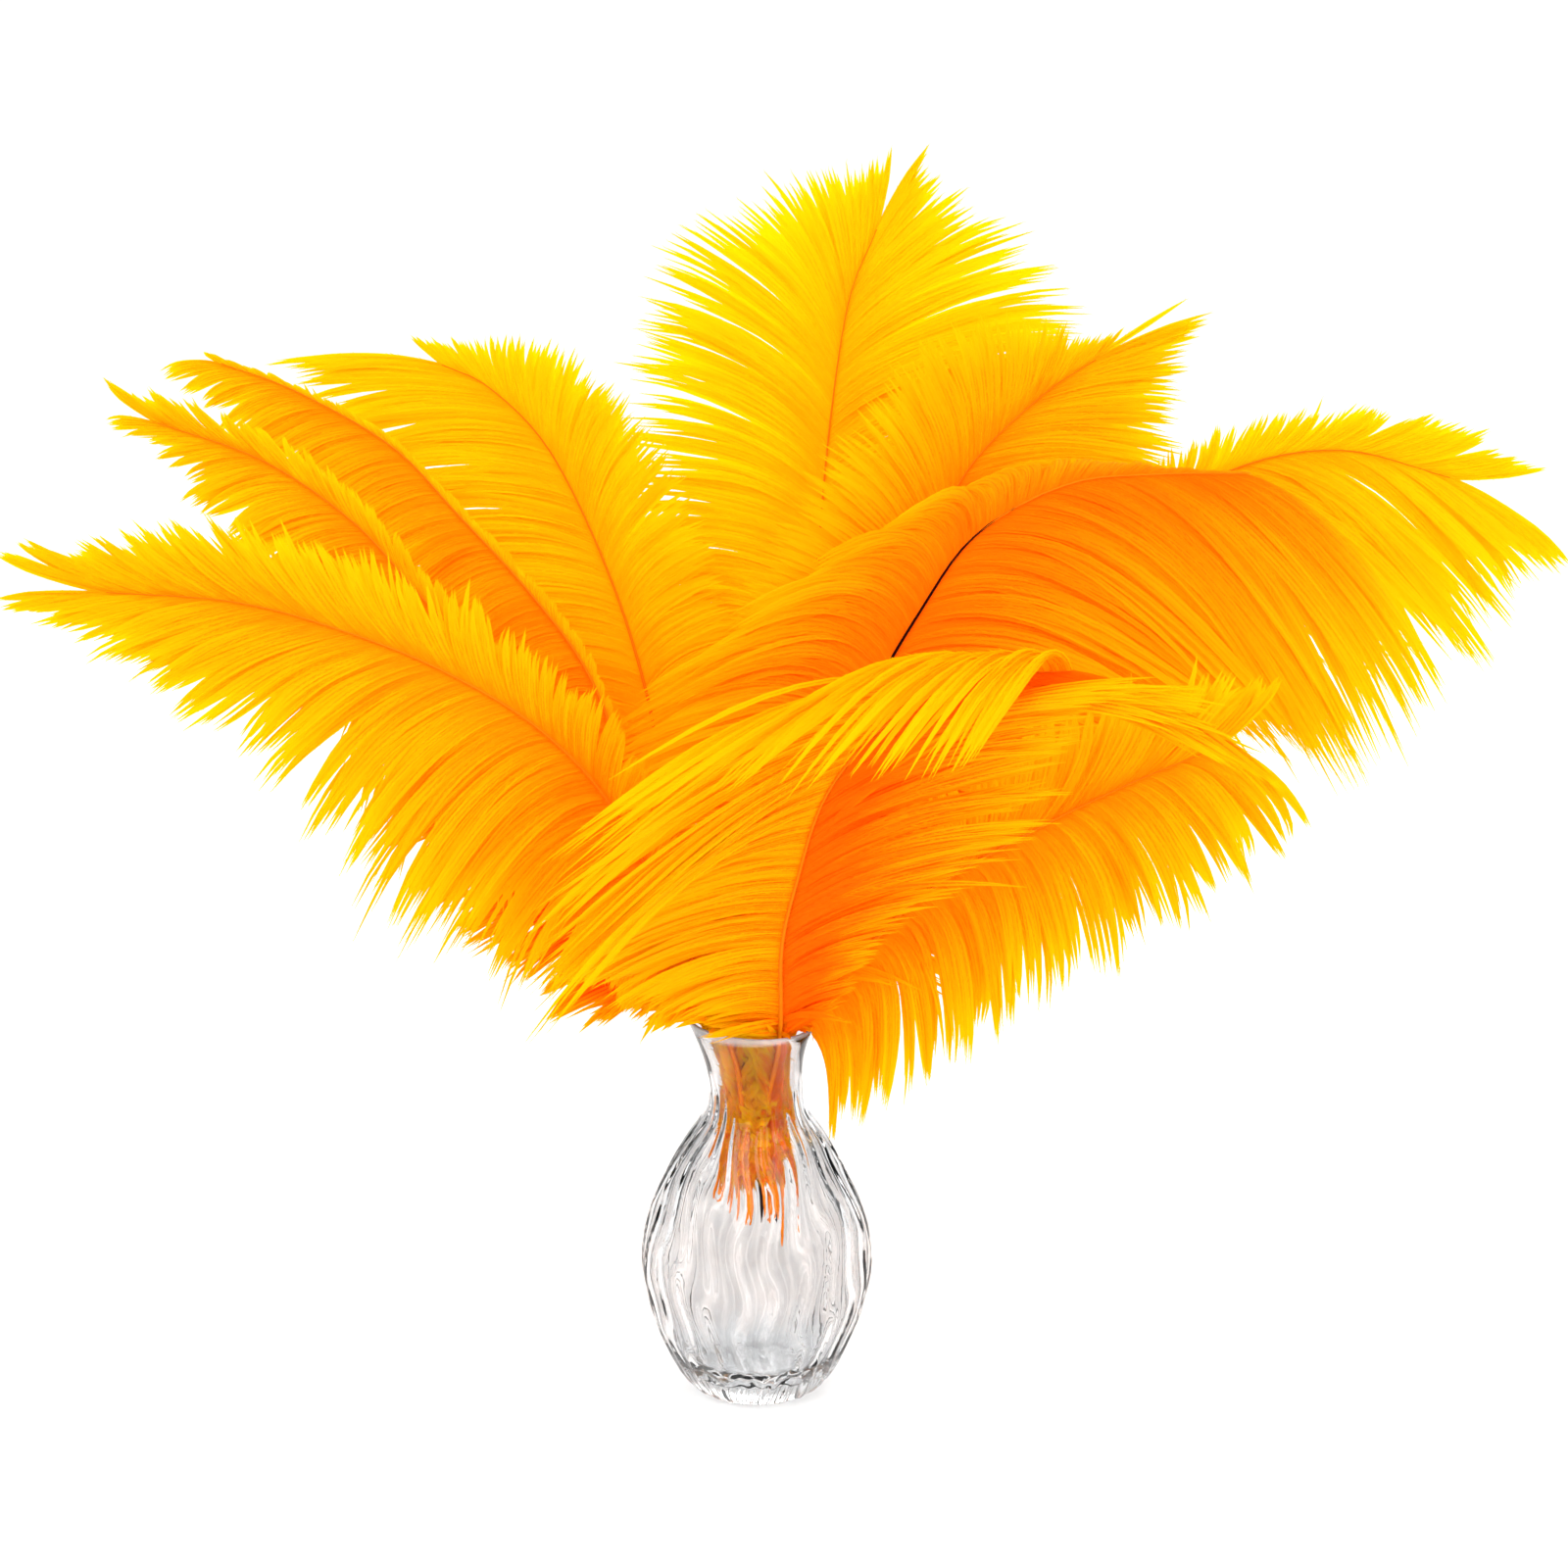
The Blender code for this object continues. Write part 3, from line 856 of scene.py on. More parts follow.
PLUMES = (
    Plume(
        "plume_top", (-0.1, -1.0, 0.25), 0.40,
        Vane((24, 70, 78, 30), (90, 80, 60, 8), droop=(0.1, 0.0)),
        Vane((30, 80, 90, 34), (88, 80, 62, 12), droop=(0.1, 0.0)),
        ((-2, 2, 74), (-1.5, 1.5, 108), (-3, 6, 137), (14, 40, 217), (21, 62, 279), (26, 78, 333),
         (33, 88, 378), (43, 94, 403)),
        Dye.SUNNY, SOFT,
    ),
    Plume(
        "plume_upper_left", (0.1, -1.0, 0.2), 0.38,
        Vane((28, 80, 82, 58), (88, 78, 60, 31)),
        Vane((12, 40, 44, 18), (80, 70, 44, 12), droop=(0.0, 0.1)),
        ((-5, 5, 72), (-6, 5, 108), (-9, 11, 137), (-28, 33, 187), (-39, 44, 244), (-53, 52, 288),
         (-73, 59, 329), (-94, 62, 351), (-111, 64, 359)),
        Dye.SUNNY, COMBED,
    ),
    Plume(
        "plume_left_high", (0.2, -1.0, 0.3), 0.34,
        Vane((25, 62, 46, 24), (130, 12), fold=(-20, -5), droop=(0.15, 0.25)),
        Vane((6, 8, 8, 9), (40, 8), fold=(-20, -5)),
        ((-7, 0, 70), (-6.5, 0, 108), (-11.5, 1.5, 137), (-43, 15, 216), (-58, 18, 257),
         (-78, 19, 286), (-103, 20, 314), (-125, 22, 337), (-158, 24, 356), (-183, 26, 365)),
        Dye.GOLDEN, LOOSE,
    ),
    Plume(
        "plume_left_middle", (0.2, -1.0, 0.3), 0.34,
        Vane((25, 60, 40, 20), (125, 10), fold=(-20, -5), droop=(0.15, 0.1)),
        Vane((8, 12, 20, 27), (40, 14), fold=(-20, -5)),
        ((-10, -3, 66), (-9.5, -3.5, 108), (-14.5, -4.5, 137), (-44, -14, 204), (-70, -20, 251),
         (-108, -24, 290), (-132, -27, 319), (-162, -29, 341), (-196, -31, 354)),
        Dye.GOLDEN, LOOSE,
    ),
    Plume(
        "plume_left_low", (0.2, -1.0, 0.4), 0.30,
        Vane((24, 68, 60, 36), (97, 8), fold=(-15, 0), droop=(0.3, 0.25, 0.0, 0.0)),
        Vane((12, 26, 42, 38), (60, 16), fold=(-10, 0)),
        ((-5, -8, 64), (-5, -8, 108), (-11, -12, 137), (-43, -40, 217), (-68, -52, 253),
         (-102, -62, 278), (-139, -70, 295), (-169, -76, 304), (-206, -82, 308)),
        Dye.GOLDEN, Grooming(),
    ),
    Plume(
        "plume_lower_left", (0.0, -1.0, 0.3), 0.46,
        Vane((44, 51, 49, 34), (72, 18), droop=(0.0, 0.3)),
        Vane((8, 12, 12, 12), (70, 20), droop=(0.2, 0.2)),
        ((-13, 2, 68), (-11, 1.5, 108), (-15, 3, 137), (-32, 10, 158), (-53, 22, 178),
         (-74, 31, 194), (-95, 37, 206)),
        Dye.EMBER, LOOSE,
    ),
    Plume(
        "plume_upper_right", (0.1, -1.0, 0.2), 0.40,
        Vane((22, 54, 48, 16), (85, 76, 48, 10)),
        Vane((22, 62, 72, 44), (85, 78, 54, 14)),
        ((3, 1.5, 70), (3, 1, 108), (8, 4, 137), (27, 22, 217), (55, 38, 284), (73, 46, 323),
         (99, 52, 349), (119, 56, 362)),
        Dye.GOLDEN, COMBED,
    ),
    Plume(
        "plume_right_arch", (0.1, -1.0, 0.3), 0.28,
        Vane((60, 88, 50, 10), (95, 60), fold=(0, -30), droop=(0.1, 1.1)),
        Vane((60, 110, 114, 80), (75, 25), droop=(0.1, 0.25, 0.5, 0.5)),
        ((2.5, -3, 62), (2, -3, 108), (4, -4, 137), (23, -3, 195), (38, -1, 249), (57, 1, 285),
         (76, 2, 311), (106, 0, 328), (135, -4, 332), (164, -8, 333)),
        Dye.AMBER, COMBED,
    ),
    Plume(
        "plume_far_right", (0.2, -1.0, 0.3), 0.40,
        Vane((15, 18, 22, 36), (60, 16)),
        Vane((30, 72, 88, 50), (76, 12), droop=(0.2, 0.35, 0.38, 0.15)),
        ((9, 3, 66), (8.5, 3, 108), (14, 6, 137), (44, 16, 190), (92, 24, 259), (132, 28, 307),
         (166, 30, 328), (203, 32, 334), (241, 34, 324)),
        Dye.SUNNY, Grooming(),
    ),
    Plume(
        "plume_front_fold", (0.0, -1.0, 0.3), 0.27,
        Vane((28, 72, 114, 58), (84, 110, 158, 106), fold=(0, 10, 50, 42), droop=(0.2, 0.15, 0.1, 1.2),
             spread=140, leaving=0.86),
        Vane((30, 95, 104, 72), (50, 45, 27, 20), droop=(0.0, 0.0, 0.05, 0.2)),
        ((4.5, -8.5, 66), (4, -8, 108), (8.5, -14, 137), (9, -44, 177), (14, -62, 206),
         (24, -78, 241), (44, -90, 268), (72, -98, 284), (100, -106, 288)),
        Dye.FOLDED, COMBED,
    ),
    Plume(
        "plume_lower_right", (0.2, -1.0, 0.4), 0.31,
        Vane((15, 36, 52, 40), (60, 22), droop=(0.0, 0.1)),
        Vane((33, 39, 37, 36), (130, 35), droop=(0.35, 0.5)),
        ((9, -5, 54), (8, -5, 108), (13, -7, 137), (31, -12, 159), (57, -24, 190),
         (92, -38, 216), (124, -46, 235), (152, -52, 249)),
        Dye.GOLDEN, LOOSE,
    ),
)


class QuillLine:
    """A plume's quill as a smooth line, with the frame of its vane at every point."""

    CURVE_STEPS = 40
    SAMPLES = 240
    TURN_SAMPLES = 24

    def __init__(self, plume: Plume) -> None:
        """Work out the line and its frames.

        Args:
            plume: the plume whose quill it is.
        """
        spine = np.array(plume.spine, dtype=float)
        self.points = evenly_spaced(smooth_line(spine, self.CURVE_STEPS), self.SAMPLES)
        index = np.arange(self.SAMPLES + 1)
        ahead = self.points[np.minimum(index + self.TURN_SAMPLES, self.SAMPLES)]
        behind = self.points[np.maximum(index - self.TURN_SAMPLES, 0)]
        self.directions = unit(ahead - behind)
        self.lefts = unit(np.cross(np.array(plume.front), self.directions))
        self.fronts = np.cross(self.directions, self.lefts)
        self.length = float(np.linalg.norm(np.diff(self.points, axis=0), axis=1).sum())

    def frames(self, places: np.ndarray) -> list[np.ndarray]:
        """Frames along the quill.

        Args:
            places: shares of the whole quill, 0 at its lower end.

        Returns:
            Points, directions, lefts and fronts, one row a place.
        """
        steps = np.clip(places, 0.0, 1.0) * self.SAMPLES
        low = np.minimum(steps.astype(int), self.SAMPLES - 1)
        share = (steps - low)[:, None]
        tables = (self.points, self.directions, self.lefts, self.fronts)
        return [(1 - share) * table[low] + share * table[low + 1] for table in tables]


@dataclass
class BarbGuides:
    """The lines that a plume's barbs follow, from the quill to their tips."""

    plume: Plume
    glass: Vase
    seed: int
    spacing: float = 0.55
    down_spacing: float = 0.5
    down_from_height: float = 84.0
    # places up the down, with the barbs' lengths and angles at all but the last, where the vane's begin
    down_lengths: tuple[Sequence[float], Sequence[float]] = ((0.0, 0.35, 0.7, 1.0), (15.0, 16.0, 26.0))
    down_angles: tuple[Sequence[float], Sequence[float]] = ((0.0, 0.15, 0.5, 1.0), (125.0, 60.0, 28.0))
    # the least share of the quill below the down, and the least that it covers
    least_bare: float = 0.005
    least_down: float = 0.02
    # how far apart the folds of a strand and of the down lie, and the angles of stray barbs
    strand_fold: float = 4.0
    down_fold: float = 80.0
    stray_angle: float = 14.0
    down_pull: float = 0.3
    steps: int = 11
    start_reach: float = 0.42
    angle_ease: float = 1.3
    # how far barbs outside the vase keep off it, up to a margin above the rim
    clearance: float = 1.0
    rim_margin: float = 1.5
    # barbs that leave the quill below another margin are inside: the down there keeps this far from
    # the wall, within a radius below the neck, and spreads this much a millimetre above the rim
    root_margin: float = 1.0
    inside_clearance: float = 3.4
    inside_radius: float = 11.0
    inside_below: float = 114.0
    inside_ease: float = 8.0
    mouth_spread: float = 1.2
    roll: float = 28.0
    # how many times a barb waves, how far out of its vane, and how much neighbours differ
    wave_turns: float = 1.2
    wave_depth: float = 0.8
    wave_shift: float = 0.06
    # a barb is as broad as this share, and at full breadth from this length on
    least_breadth: float = 0.45
    full_length: float = 38.0
    down_breadth: float = 1.3
    breadth_range: Pair = (0.8, 1.2)
    fluff_range: Pair = (0.85, 1.15)
    # the barbules' reach at a barb's root, what is added at its middle and what is lost by its tip
    swell: Triple = (0.55, 0.45, 0.22)
    # the quill's radius at its end, just above it, where the vane begins, near the tip and at the tip
    quill_radii: tuple[float, ...] = (0.25, 1.25, 0.78, 0.42, 0.14)
    # how far the quill stands proud of its vane's front
    quill_lift: float = 0.8
    # a barb's breadth with its closest barbules, as a share of the widest, at these places along it
    taper_at: tuple[float, ...] = (0.0, 0.35, 0.7, 0.88, 1.0)
    taper_to: tuple[float, ...] = (0.6, 1.0, 1.1, 0.66, 0.06)

    def __post_init__(self) -> None:
        """Work out the quill and start the random numbers."""
        self.line = QuillLine(self.plume)
        self.rng = np.random.default_rng(self.seed)
        self.points: list[np.ndarray] = []
        self.normals: list[np.ndarray] = []
        self.across: list[np.ndarray] = []
        self.fluff: list[np.ndarray] = []
        self.breadth: list[np.ndarray] = []
        self.barbs_a_side = 0

    def even(self, size: float, count: int) -> np.ndarray:
        """Random numbers between -size and size."""
        return self.rng.uniform(-size, size, count)

    def locks(self, count: int, size: tuple[int, int]) -> tuple[np.ndarray, np.ndarray]:
        """Gather neighbouring barbs into locks or strands.

        Args:
            count: the number of barbs on this side.
            size: the fewest and most barbs in one.

        Returns:
            Each barb's lock, and the barb at the middle of that lock.
        """
        low, high = size
        sizes = self.rng.integers(low, high + 1, count)
        lock = np.repeat(np.arange(count), sizes)[:count]
        middles = np.round(np.interp(
            lock, np.arange(lock[-1] + 1),
            [np.flatnonzero(lock == k).mean() for k in range(lock[-1] + 1)])).astype(int)
        return lock, middles

    def grow_side(self, vane: Vane, side: int) -> None:
        """Add one side's barbs, from the down in the vase's neck to the last barb at the tip.

        Args:
            vane: how this side's barbs lie.
            side: 1 for the left or -1 for the right.
        """
        start, g = self.plume.vane_from, self.plume.grooming
        first_down = float(np.argmax(self.line.points[:, 2] > self.down_from_height))
        down_from = max(first_down / self.line.SAMPLES, self.least_bare)
        down_count = int(max(start - down_from, self.least_down) * self.line.length / self.down_spacing)
        vane_count = int((1 - start) * self.line.length / self.spacing)
        places = np.linspace(down_from, start, down_count, endpoint=False)
        places = np.concatenate([places, np.linspace(start, 1.0, vane_count)])
        count = len(places)
        share = (places - start) / (1 - start)
        down = np.clip((places - down_from) / (start - down_from), 0.0, 1.0)
        is_down = share < 0
        vane_share = np.clip(share, 0.0, 1.0)
        length = along_vane(vane.lengths, vane_share)
        angle = along_vane(vane.angle, vane_share, self.angle_ease)
        fold = along_vane(vane.fold, vane_share)
        droop = along_vane(vane.droop, vane_share)
        at, sizes = self.down_lengths
        length = np.where(is_down, np.interp(down, at, (*sizes, vane.lengths[0])), length)
        at, sizes = self.down_angles
        angle = np.where(is_down, np.interp(down, at, (*sizes, vane.angle[0])), angle)
        droop = np.where(is_down, droop * down, droop)
        lock, middle = self.locks(count, g.lock_size)
        strand, strand_middle = self.locks(count, g.strand_size)
        angle = angle + self.even(g.lock_angle, count)[lock] + self.even(g.barb_angle, count)
        fold = fold + self.even(g.lock_fold, count)[lock] + self.even(self.strand_fold, count)[strand]
        fold = fold + np.where(is_down, self.even(self.down_fold, count) * (1 - 0.6 * down), 0.0)
        length = length * (1 + self.even(g.lock_length, count)[lock])
        length = length * (1 + self.even(g.barb_length, count))
        stray = self.rng.random(count) < g.stray
        angle = angle + np.where(stray, self.even(self.stray_angle, count), 0.0)
        leaving = np.radians(np.minimum(angle * vane.leaving, vane.spread))
        points, normals = self.shape(places, side, length, angle, leaving, fold, droop, lock)
        pull = self.rng.uniform(*g.pull, count)[lock] * (1 - stray)
        pull = pull * np.where(is_down, self.down_pull, 1.0)
        t = np.linspace(0.0, 1.0, self.steps)
        close = (g.strand_pull * (1 - stray)[:, None] * t ** g.strand_power)[:, :, None]
        points = points * (1 - close) + points[strand_middle] * close
        gather = (pull[:, None] * t ** g.pull_power)[:, :, None]
        points = points * (1 - gather) + points[middle] * gather
        self.points.append(self.clear_of_glass(points))
        self.normals.append(normals)
        low, size = DyedBarb.ACROSS
        self.across.append(0.5 + side * (low + size * (np.arange(count) + 0.5) / count))
        at_root, added, lost = self.swell
        swell = at_root + added * np.sin(np.pi * np.clip(t * 1.1, 0, 1)) - lost * t
        fluff = self.rng.uniform(*self.fluff_range, count)
        short = np.clip(length / self.full_length, self.least_breadth, 1.0)
        short = np.where(is_down, self.down_breadth, short)
        self.breadth.append(short * self.rng.uniform(*self.breadth_range, count))
        self.fluff.append(fluff[:, None] * short[:, None] * swell[None, :])

    def shape(
        self, places: np.ndarray, side: int, length: np.ndarray, angle: np.ndarray, leaving: np.ndarray,
        fold: np.ndarray, droop: np.ndarray, lock: np.ndarray,
    ) -> tuple[np.ndarray, np.ndarray]:
        """Bend each barb away from the quill.

        Args:
            places: where each barb leaves the quill.
            side: 1 for the left or -1 for the right.
            length: the barbs' lengths.
            angle: their angles from the quill, in degrees.
            leaving: the angles at which they leave it, in radians.
            fold: their turns towards the plume's front, in degrees.
            droop: how far their tips sink, as a share of their lengths.
            lock: the lock that each belongs to.

        Returns:
            The barbs' points and the vane's normals at them, by barb, step and axis.
        """
        root, direction, left, front = self.line.frames(places)
        count, g = len(places), self.plume.grooming
        angle, fold = np.radians(angle)[:, None], np.radians(fold)[:, None]
        length = length[:, None]
        outwards = left * side * np.cos(fold) + front * np.sin(fold)
        normal = front * np.cos(fold) - left * side * np.sin(fold)
        first = leaving[:, None]
        bend = root + self.start_reach * length * (np.cos(first) * direction + np.sin(first) * outwards)
        tip = root + length * (np.cos(angle) * direction + np.sin(angle) * outwards)
        tip[:, 2] -= length[:, 0] * droop
        t = np.linspace(0.0, 1.0, self.steps)[None, :, None]
        points = (1 - t) ** 2 * root[:, None] + 2 * t * (1 - t) * bend[:, None] + t ** 2 * tip[:, None]
        curl = (0.4 + 0.6 * self.rng.random(count))[lock] * g.curl
        inwards = direction * (-curl)[:, None] + normal * self.even(g.curl, count)[lock][:, None]
        points += (t ** 3) * (length * inwards)[:, None]
        phase = self.rng.random(count)[lock] + self.even(self.wave_shift, count)
        swing = np.sin(2 * np.pi * (self.wave_turns * t[:, :, 0] + phase[:, None])) * t[:, :, 0]
        sway = direction * g.wave + normal * g.wave * self.wave_depth
        points += swing[:, :, None] * (length * sway)[:, None]
        tangent = unit(np.gradient(points, axis=1))
        upright = np.repeat(normal[:, None], self.steps, axis=1)
        upright = unit(upright - (upright * tangent).sum(axis=2, keepdims=True) * tangent)
        turn = np.radians(self.even(self.roll, count))[:, None, None]
        return points, upright * np.cos(turn) + np.cross(tangent, upright) * np.sin(turn)

    def clear_of_glass(self, points: np.ndarray) -> np.ndarray:
        """Keep barbs that leave the quill inside the vase within it, and the others off it.

        Args:
            points: the barbs' points, by barb, step and axis.

        Returns:
            The points, moved where they met the glass.
        """
        height = points[:, :, 2]
        lean = self.glass.lean(height)
        x, y = points[:, :, 0] + lean * self.glass.lean_shift, points[:, :, 1]
        rim = self.glass.wall[-1][1] - lean * x * math.tan(math.radians(self.glass.lean_degrees))
        radius = np.maximum(np.hypot(x, y), 1e-6)
        outer = self.glass.outer_radius(height)
        above = np.maximum(height - rim, 0.0)
        below = np.clip((self.inside_below - height) / self.inside_below * self.inside_ease, 0.0, 1.0)
        most = outer - self.glass.thickness - self.inside_clearance + self.mouth_spread * above
        most = most + (np.minimum(most, self.inside_radius) - most) * below
        rooted_inside = (height[:, 0] < rim[:, 0] + self.root_margin)[:, None]
        least = np.where(height < rim + self.rim_margin, outer + self.clearance, 0.0)
        wanted = np.where(rooted_inside, np.minimum(radius, most), np.maximum(radius, least))
        scale = wanted / radius
        moved = points.copy()
        moved[:, :, 0] = x * scale - lean * self.glass.lean_shift
        moved[:, :, 1] = y * scale
        return moved

    def mesh(self) -> bpy.types.Mesh:
        """All the guides of the plume as one mesh of loose lines.

        Returns:
            The mesh, with the attributes that the growing tree reads.
        """
        self.grow_side(self.plume.left, 1)
        self.grow_side(self.plume.right, -1)
        points = np.concatenate(self.points)
        count, steps = points.shape[:2]
        self.barbs_a_side = count // 2
        t = np.linspace(0.0, 1.0, steps)
        taper = np.concatenate(self.breadth)[:, None] * np.interp(t, self.taper_at, self.taper_to)
        quill = (self.line.points + self.quill_lift * self.line.fronts)[::4]
        quill_at = (0.0, 0.012, self.plume.vane_from, 0.7, 1.0)
        tapered = np.interp(np.linspace(0, 1, len(quill)), quill_at, self.quill_radii)
        bare, pitch = np.zeros(len(quill)), DyedBarb.ACROSS[1] / self.barbs_a_side
        is_quill = np.concatenate([np.zeros(count * steps), np.ones(len(quill))])
        places = np.concatenate([points.reshape(-1, 3), quill]) * MM
        starts = np.arange(count)[:, None] * steps + np.arange(steps - 1)[None, :]
        starts = np.concatenate([starts.ravel(), count * steps + np.arange(len(quill) - 1)])
        mesh = bpy.data.meshes.new(self.plume.name + "_guides")
        mesh.vertices.add(len(places))
        mesh.vertices.foreach_set("co", places.astype(np.float32).ravel())
        mesh.edges.add(len(starts))
        ends = np.stack([starts, starts + 1], axis=1)
        mesh.edges.foreach_set("vertices", ends.astype(np.int32).ravel())
        mesh.update()
        normals = np.concatenate(self.normals).reshape(-1, 3)
        store_columns(mesh, {
            "pitch": np.full(len(places), pitch),
            "across": np.concatenate([np.repeat(np.concatenate(self.across), steps), bare]),
            "fluff": np.concatenate([np.concatenate(self.fluff).ravel(), bare]),
            "thickness": np.concatenate([taper.ravel(), tapered * MM]),
            "is_quill": is_quill,
            "vane_normal": np.concatenate([normals, self.line.fronts[::4]]),
        })
        return mesh


@dataclass
class Feathering:
    """Sizes of the shafts and barbules, and the tree that grows them along the guides."""

    shaft_width: float = 2.0
    barbule_length: float = 4.0
    barbule_width: float = 0.40
    barbule_angle: float = 17.0
    barbule_spacing: float = 0.95
    barbule_roll: float = 38.0
    # how far a barbule's angle strays, in radians, and the range of its size
    barbule_turn: float = 0.12
    barbule_sizes: Pair = (0.7, 1.3)
    quill_sides: int = 7
    seed: int = 11

    def tree(self) -> GrowthTree:
        """Build the tree.

        Returns:
            The tree, which every plume shares.
        """
        sizes = {
            "Shaft Width": self.shaft_width * MM, "Barbule Length": self.barbule_length * MM,
            "Barbule Width": self.barbule_width * MM,
            "Barbule Angle": math.radians(self.barbule_angle),
            "Barbule Spacing": self.barbule_spacing * MM,
            "Barbule Roll": math.radians(self.barbule_roll),
        }
        t = GrowthTree("feathering", sizes, self.seed)
        curves = t.out("GeometryNodeMeshToCurve", {"Mesh": t.given["Geometry"]})
        normal = t.attribute("vane_normal", "FLOAT_VECTOR")
        curves = t.out("GeometryNodeSetCurveNormal", {"Curve": curves, "Normal": normal}, mode="FREE")
        curves = t.store(curves, "along", t.node("GeometryNodeSplineParameter").outputs["Factor"])
        parts = {"Geometry": curves, "Selection": t.math("GREATER_THAN", t.attribute("is_quill"), 0.5)}
        quill, barbs = t.node("GeometryNodeSeparateGeometry", parts, domain="CURVE").outputs
        join = t.node("GeometryNodeJoinGeometry")
        for part in (self._barbules(t, barbs), self._shafts(t, barbs), self._quill(t, quill)):
            t.tree.links.new(part, join.inputs[0])
        t.finish(join.outputs[0])
        return t

    @staticmethod
    def _uv(t: GrowthTree, shape: Any, u: Any, v: Any) -> Any:
        """Store the UV map that the finish reads."""
        return t.store(shape, UV_NAME, t.vector(u, v), "FLOAT2", "CORNER")

    def _shafts(self, t: GrowthTree, barbs: Any) -> Any:
        """Flat tapering shafts along the guides.

        Args:
            t: where the nodes go.
            barbs: the guides' socket.

        Returns:
            The shafts' socket.
        """
        ends = {"Start": (0.0, -0.5, 0.0), "End": (0.0, 0.5, 0.0)}
        line = t.out("GeometryNodeCurvePrimitiveLine", ends)
        line = t.store(line, "edge", t.node("GeometryNodeSplineParameter").outputs["Factor"])
        width = t.math("MULTIPLY", t.attribute("thickness"), t.given["Shaft Width"])
        shape = t.out("GeometryNodeCurveToMesh", {"Curve": barbs, "Profile Curve": line, "Scale": width})
        shape = t.out("GeometryNodeSetShadeSmooth", {"Geometry": shape})
        low, size = DyedBarb.SHAFT_U
        u = t.math("MULTIPLY_ADD", t.attribute("along"), size, low)
        v = t.math("MULTIPLY_ADD", t.math("SUBTRACT", t.attribute("edge"), 0.5), t.attribute("pitch"),
                   t.attribute("across"))
        return self._uv(t, shape, u, v)

    def _barbules(self, t: GrowthTree, barbs: Any) -> Any:
        """Short barbules on alternate sides of every barb.

        Args:
            t: where the nodes go.
            barbs: the guides' socket.

        Returns:
            The barbules' socket.
        """
        fine = t.node("GeometryNodeResampleCurve", {"Curve": barbs})
        fine.mode = "LENGTH"
        t.tree.links.new(t.given["Barbule Spacing"], next(s for s in fine.inputs if s.name == "Length"))
        index = t.out("GeometryNodeInputIndex")
        is_tip = t.math("LESS_THAN", index, 0.5)
        side = t.math("MULTIPLY", t.math("SUBTRACT", 1.5, index), t.math("SUBTRACT", 1.0, is_tip))
        leaf = t.out("GeometryNodeMeshCircle", {"Vertices": 3, "Radius": 1.0}, fill_type="NGON")
        leaf = t.store(leaf, "edge", side)
        leaf = t.store(leaf, "leaf", is_tip)
        reach = t.math("MULTIPLY", is_tip, t.given["Barbule Length"])
        place = t.vector(reach, t.math("MULTIPLY", side, t.given["Barbule Width"]))
        leaf = t.out("GeometryNodeSetPosition", {"Geometry": leaf, "Position": place})
        spread = t.vector(0.0, 0.0, t.given["Barbule Angle"])
        leaf = t.out("GeometryNodeTransform", {"Geometry": leaf, "Rotation": spread})
        tangent, normal = t.out("GeometryNodeInputTangent"), t.attribute("vane_normal", "FLOAT_VECTOR")
        aligned = t.out(
            "FunctionNodeAxesToRotation", {"Primary Axis": tangent, "Secondary Axis": normal},
            primary_axis="X", secondary_axis="Z")
        flip = t.math("MULTIPLY", t.math("MODULO", index, 2.0), math.pi)
        roll = t.math("MULTIPLY_ADD", t.random(-1.0, 1.0, 1), t.given["Barbule Roll"], flip)
        twist = t.random(-self.barbule_turn, self.barbule_turn, 2)
        turn = t.out("FunctionNodeEulerToRotation", {0: t.vector(roll, 0.0, twist)})
        turned = t.out("FunctionNodeRotateRotation", {0: aligned, 1: turn}, rotation_space="LOCAL")
        size = t.math("MULTIPLY", t.attribute("fluff"), t.random(*self.barbule_sizes, 3))
        shape = t.out("GeometryNodeInstanceOnPoints", {
            "Points": fine.outputs[0], "Instance": leaf, "Rotation": turned,
            "Scale": t.vector(size, size, size)})
        shape = t.out("GeometryNodeRealizeInstances", {"Geometry": shape})
        low, size = DyedBarb.BARBULE_U
        u = t.math("MULTIPLY_ADD", t.attribute("along"), size - DyedBarb.LEAF_ROOM, low)
        u = t.math("MULTIPLY_ADD", t.attribute("leaf"), DyedBarb.LEAF_U, u)
        aside = t.math("MULTIPLY", t.attribute("edge"), DyedBarb.LEAF_V)
        v = t.math("MULTIPLY_ADD", aside, t.attribute("pitch"), t.attribute("across"))
        return self._uv(t, shape, u, v)

    def _quill(self, t: GrowthTree, quill: Any) -> Any:
        """The round tapering quill.

        Args:
            t: where the nodes go.
            quill: the guide's socket.

        Returns:
            The quill's socket.
        """
        ring = t.out("GeometryNodeCurvePrimitiveCircle", {"Resolution": self.quill_sides, "Radius": 1.0})
        ring = t.store(ring, "edge", t.node("GeometryNodeSplineParameter").outputs["Factor"])
        shape = t.out("GeometryNodeCurveToMesh", {
            "Curve": quill, "Profile Curve": ring, "Scale": t.attribute("thickness"), "Fill Caps": True})
        shape = t.out("GeometryNodeSetShadeSmooth", {"Geometry": shape})
        low, size = DyedBarb.QUILL_U
        u = t.math("MULTIPLY_ADD", t.attribute("along"), size, low)
        low, size = DyedBarb.QUILL_V
        v = t.math("MULTIPLY_ADD", t.attribute("edge"), size, low)
        return self._uv(t, shape, u, v)


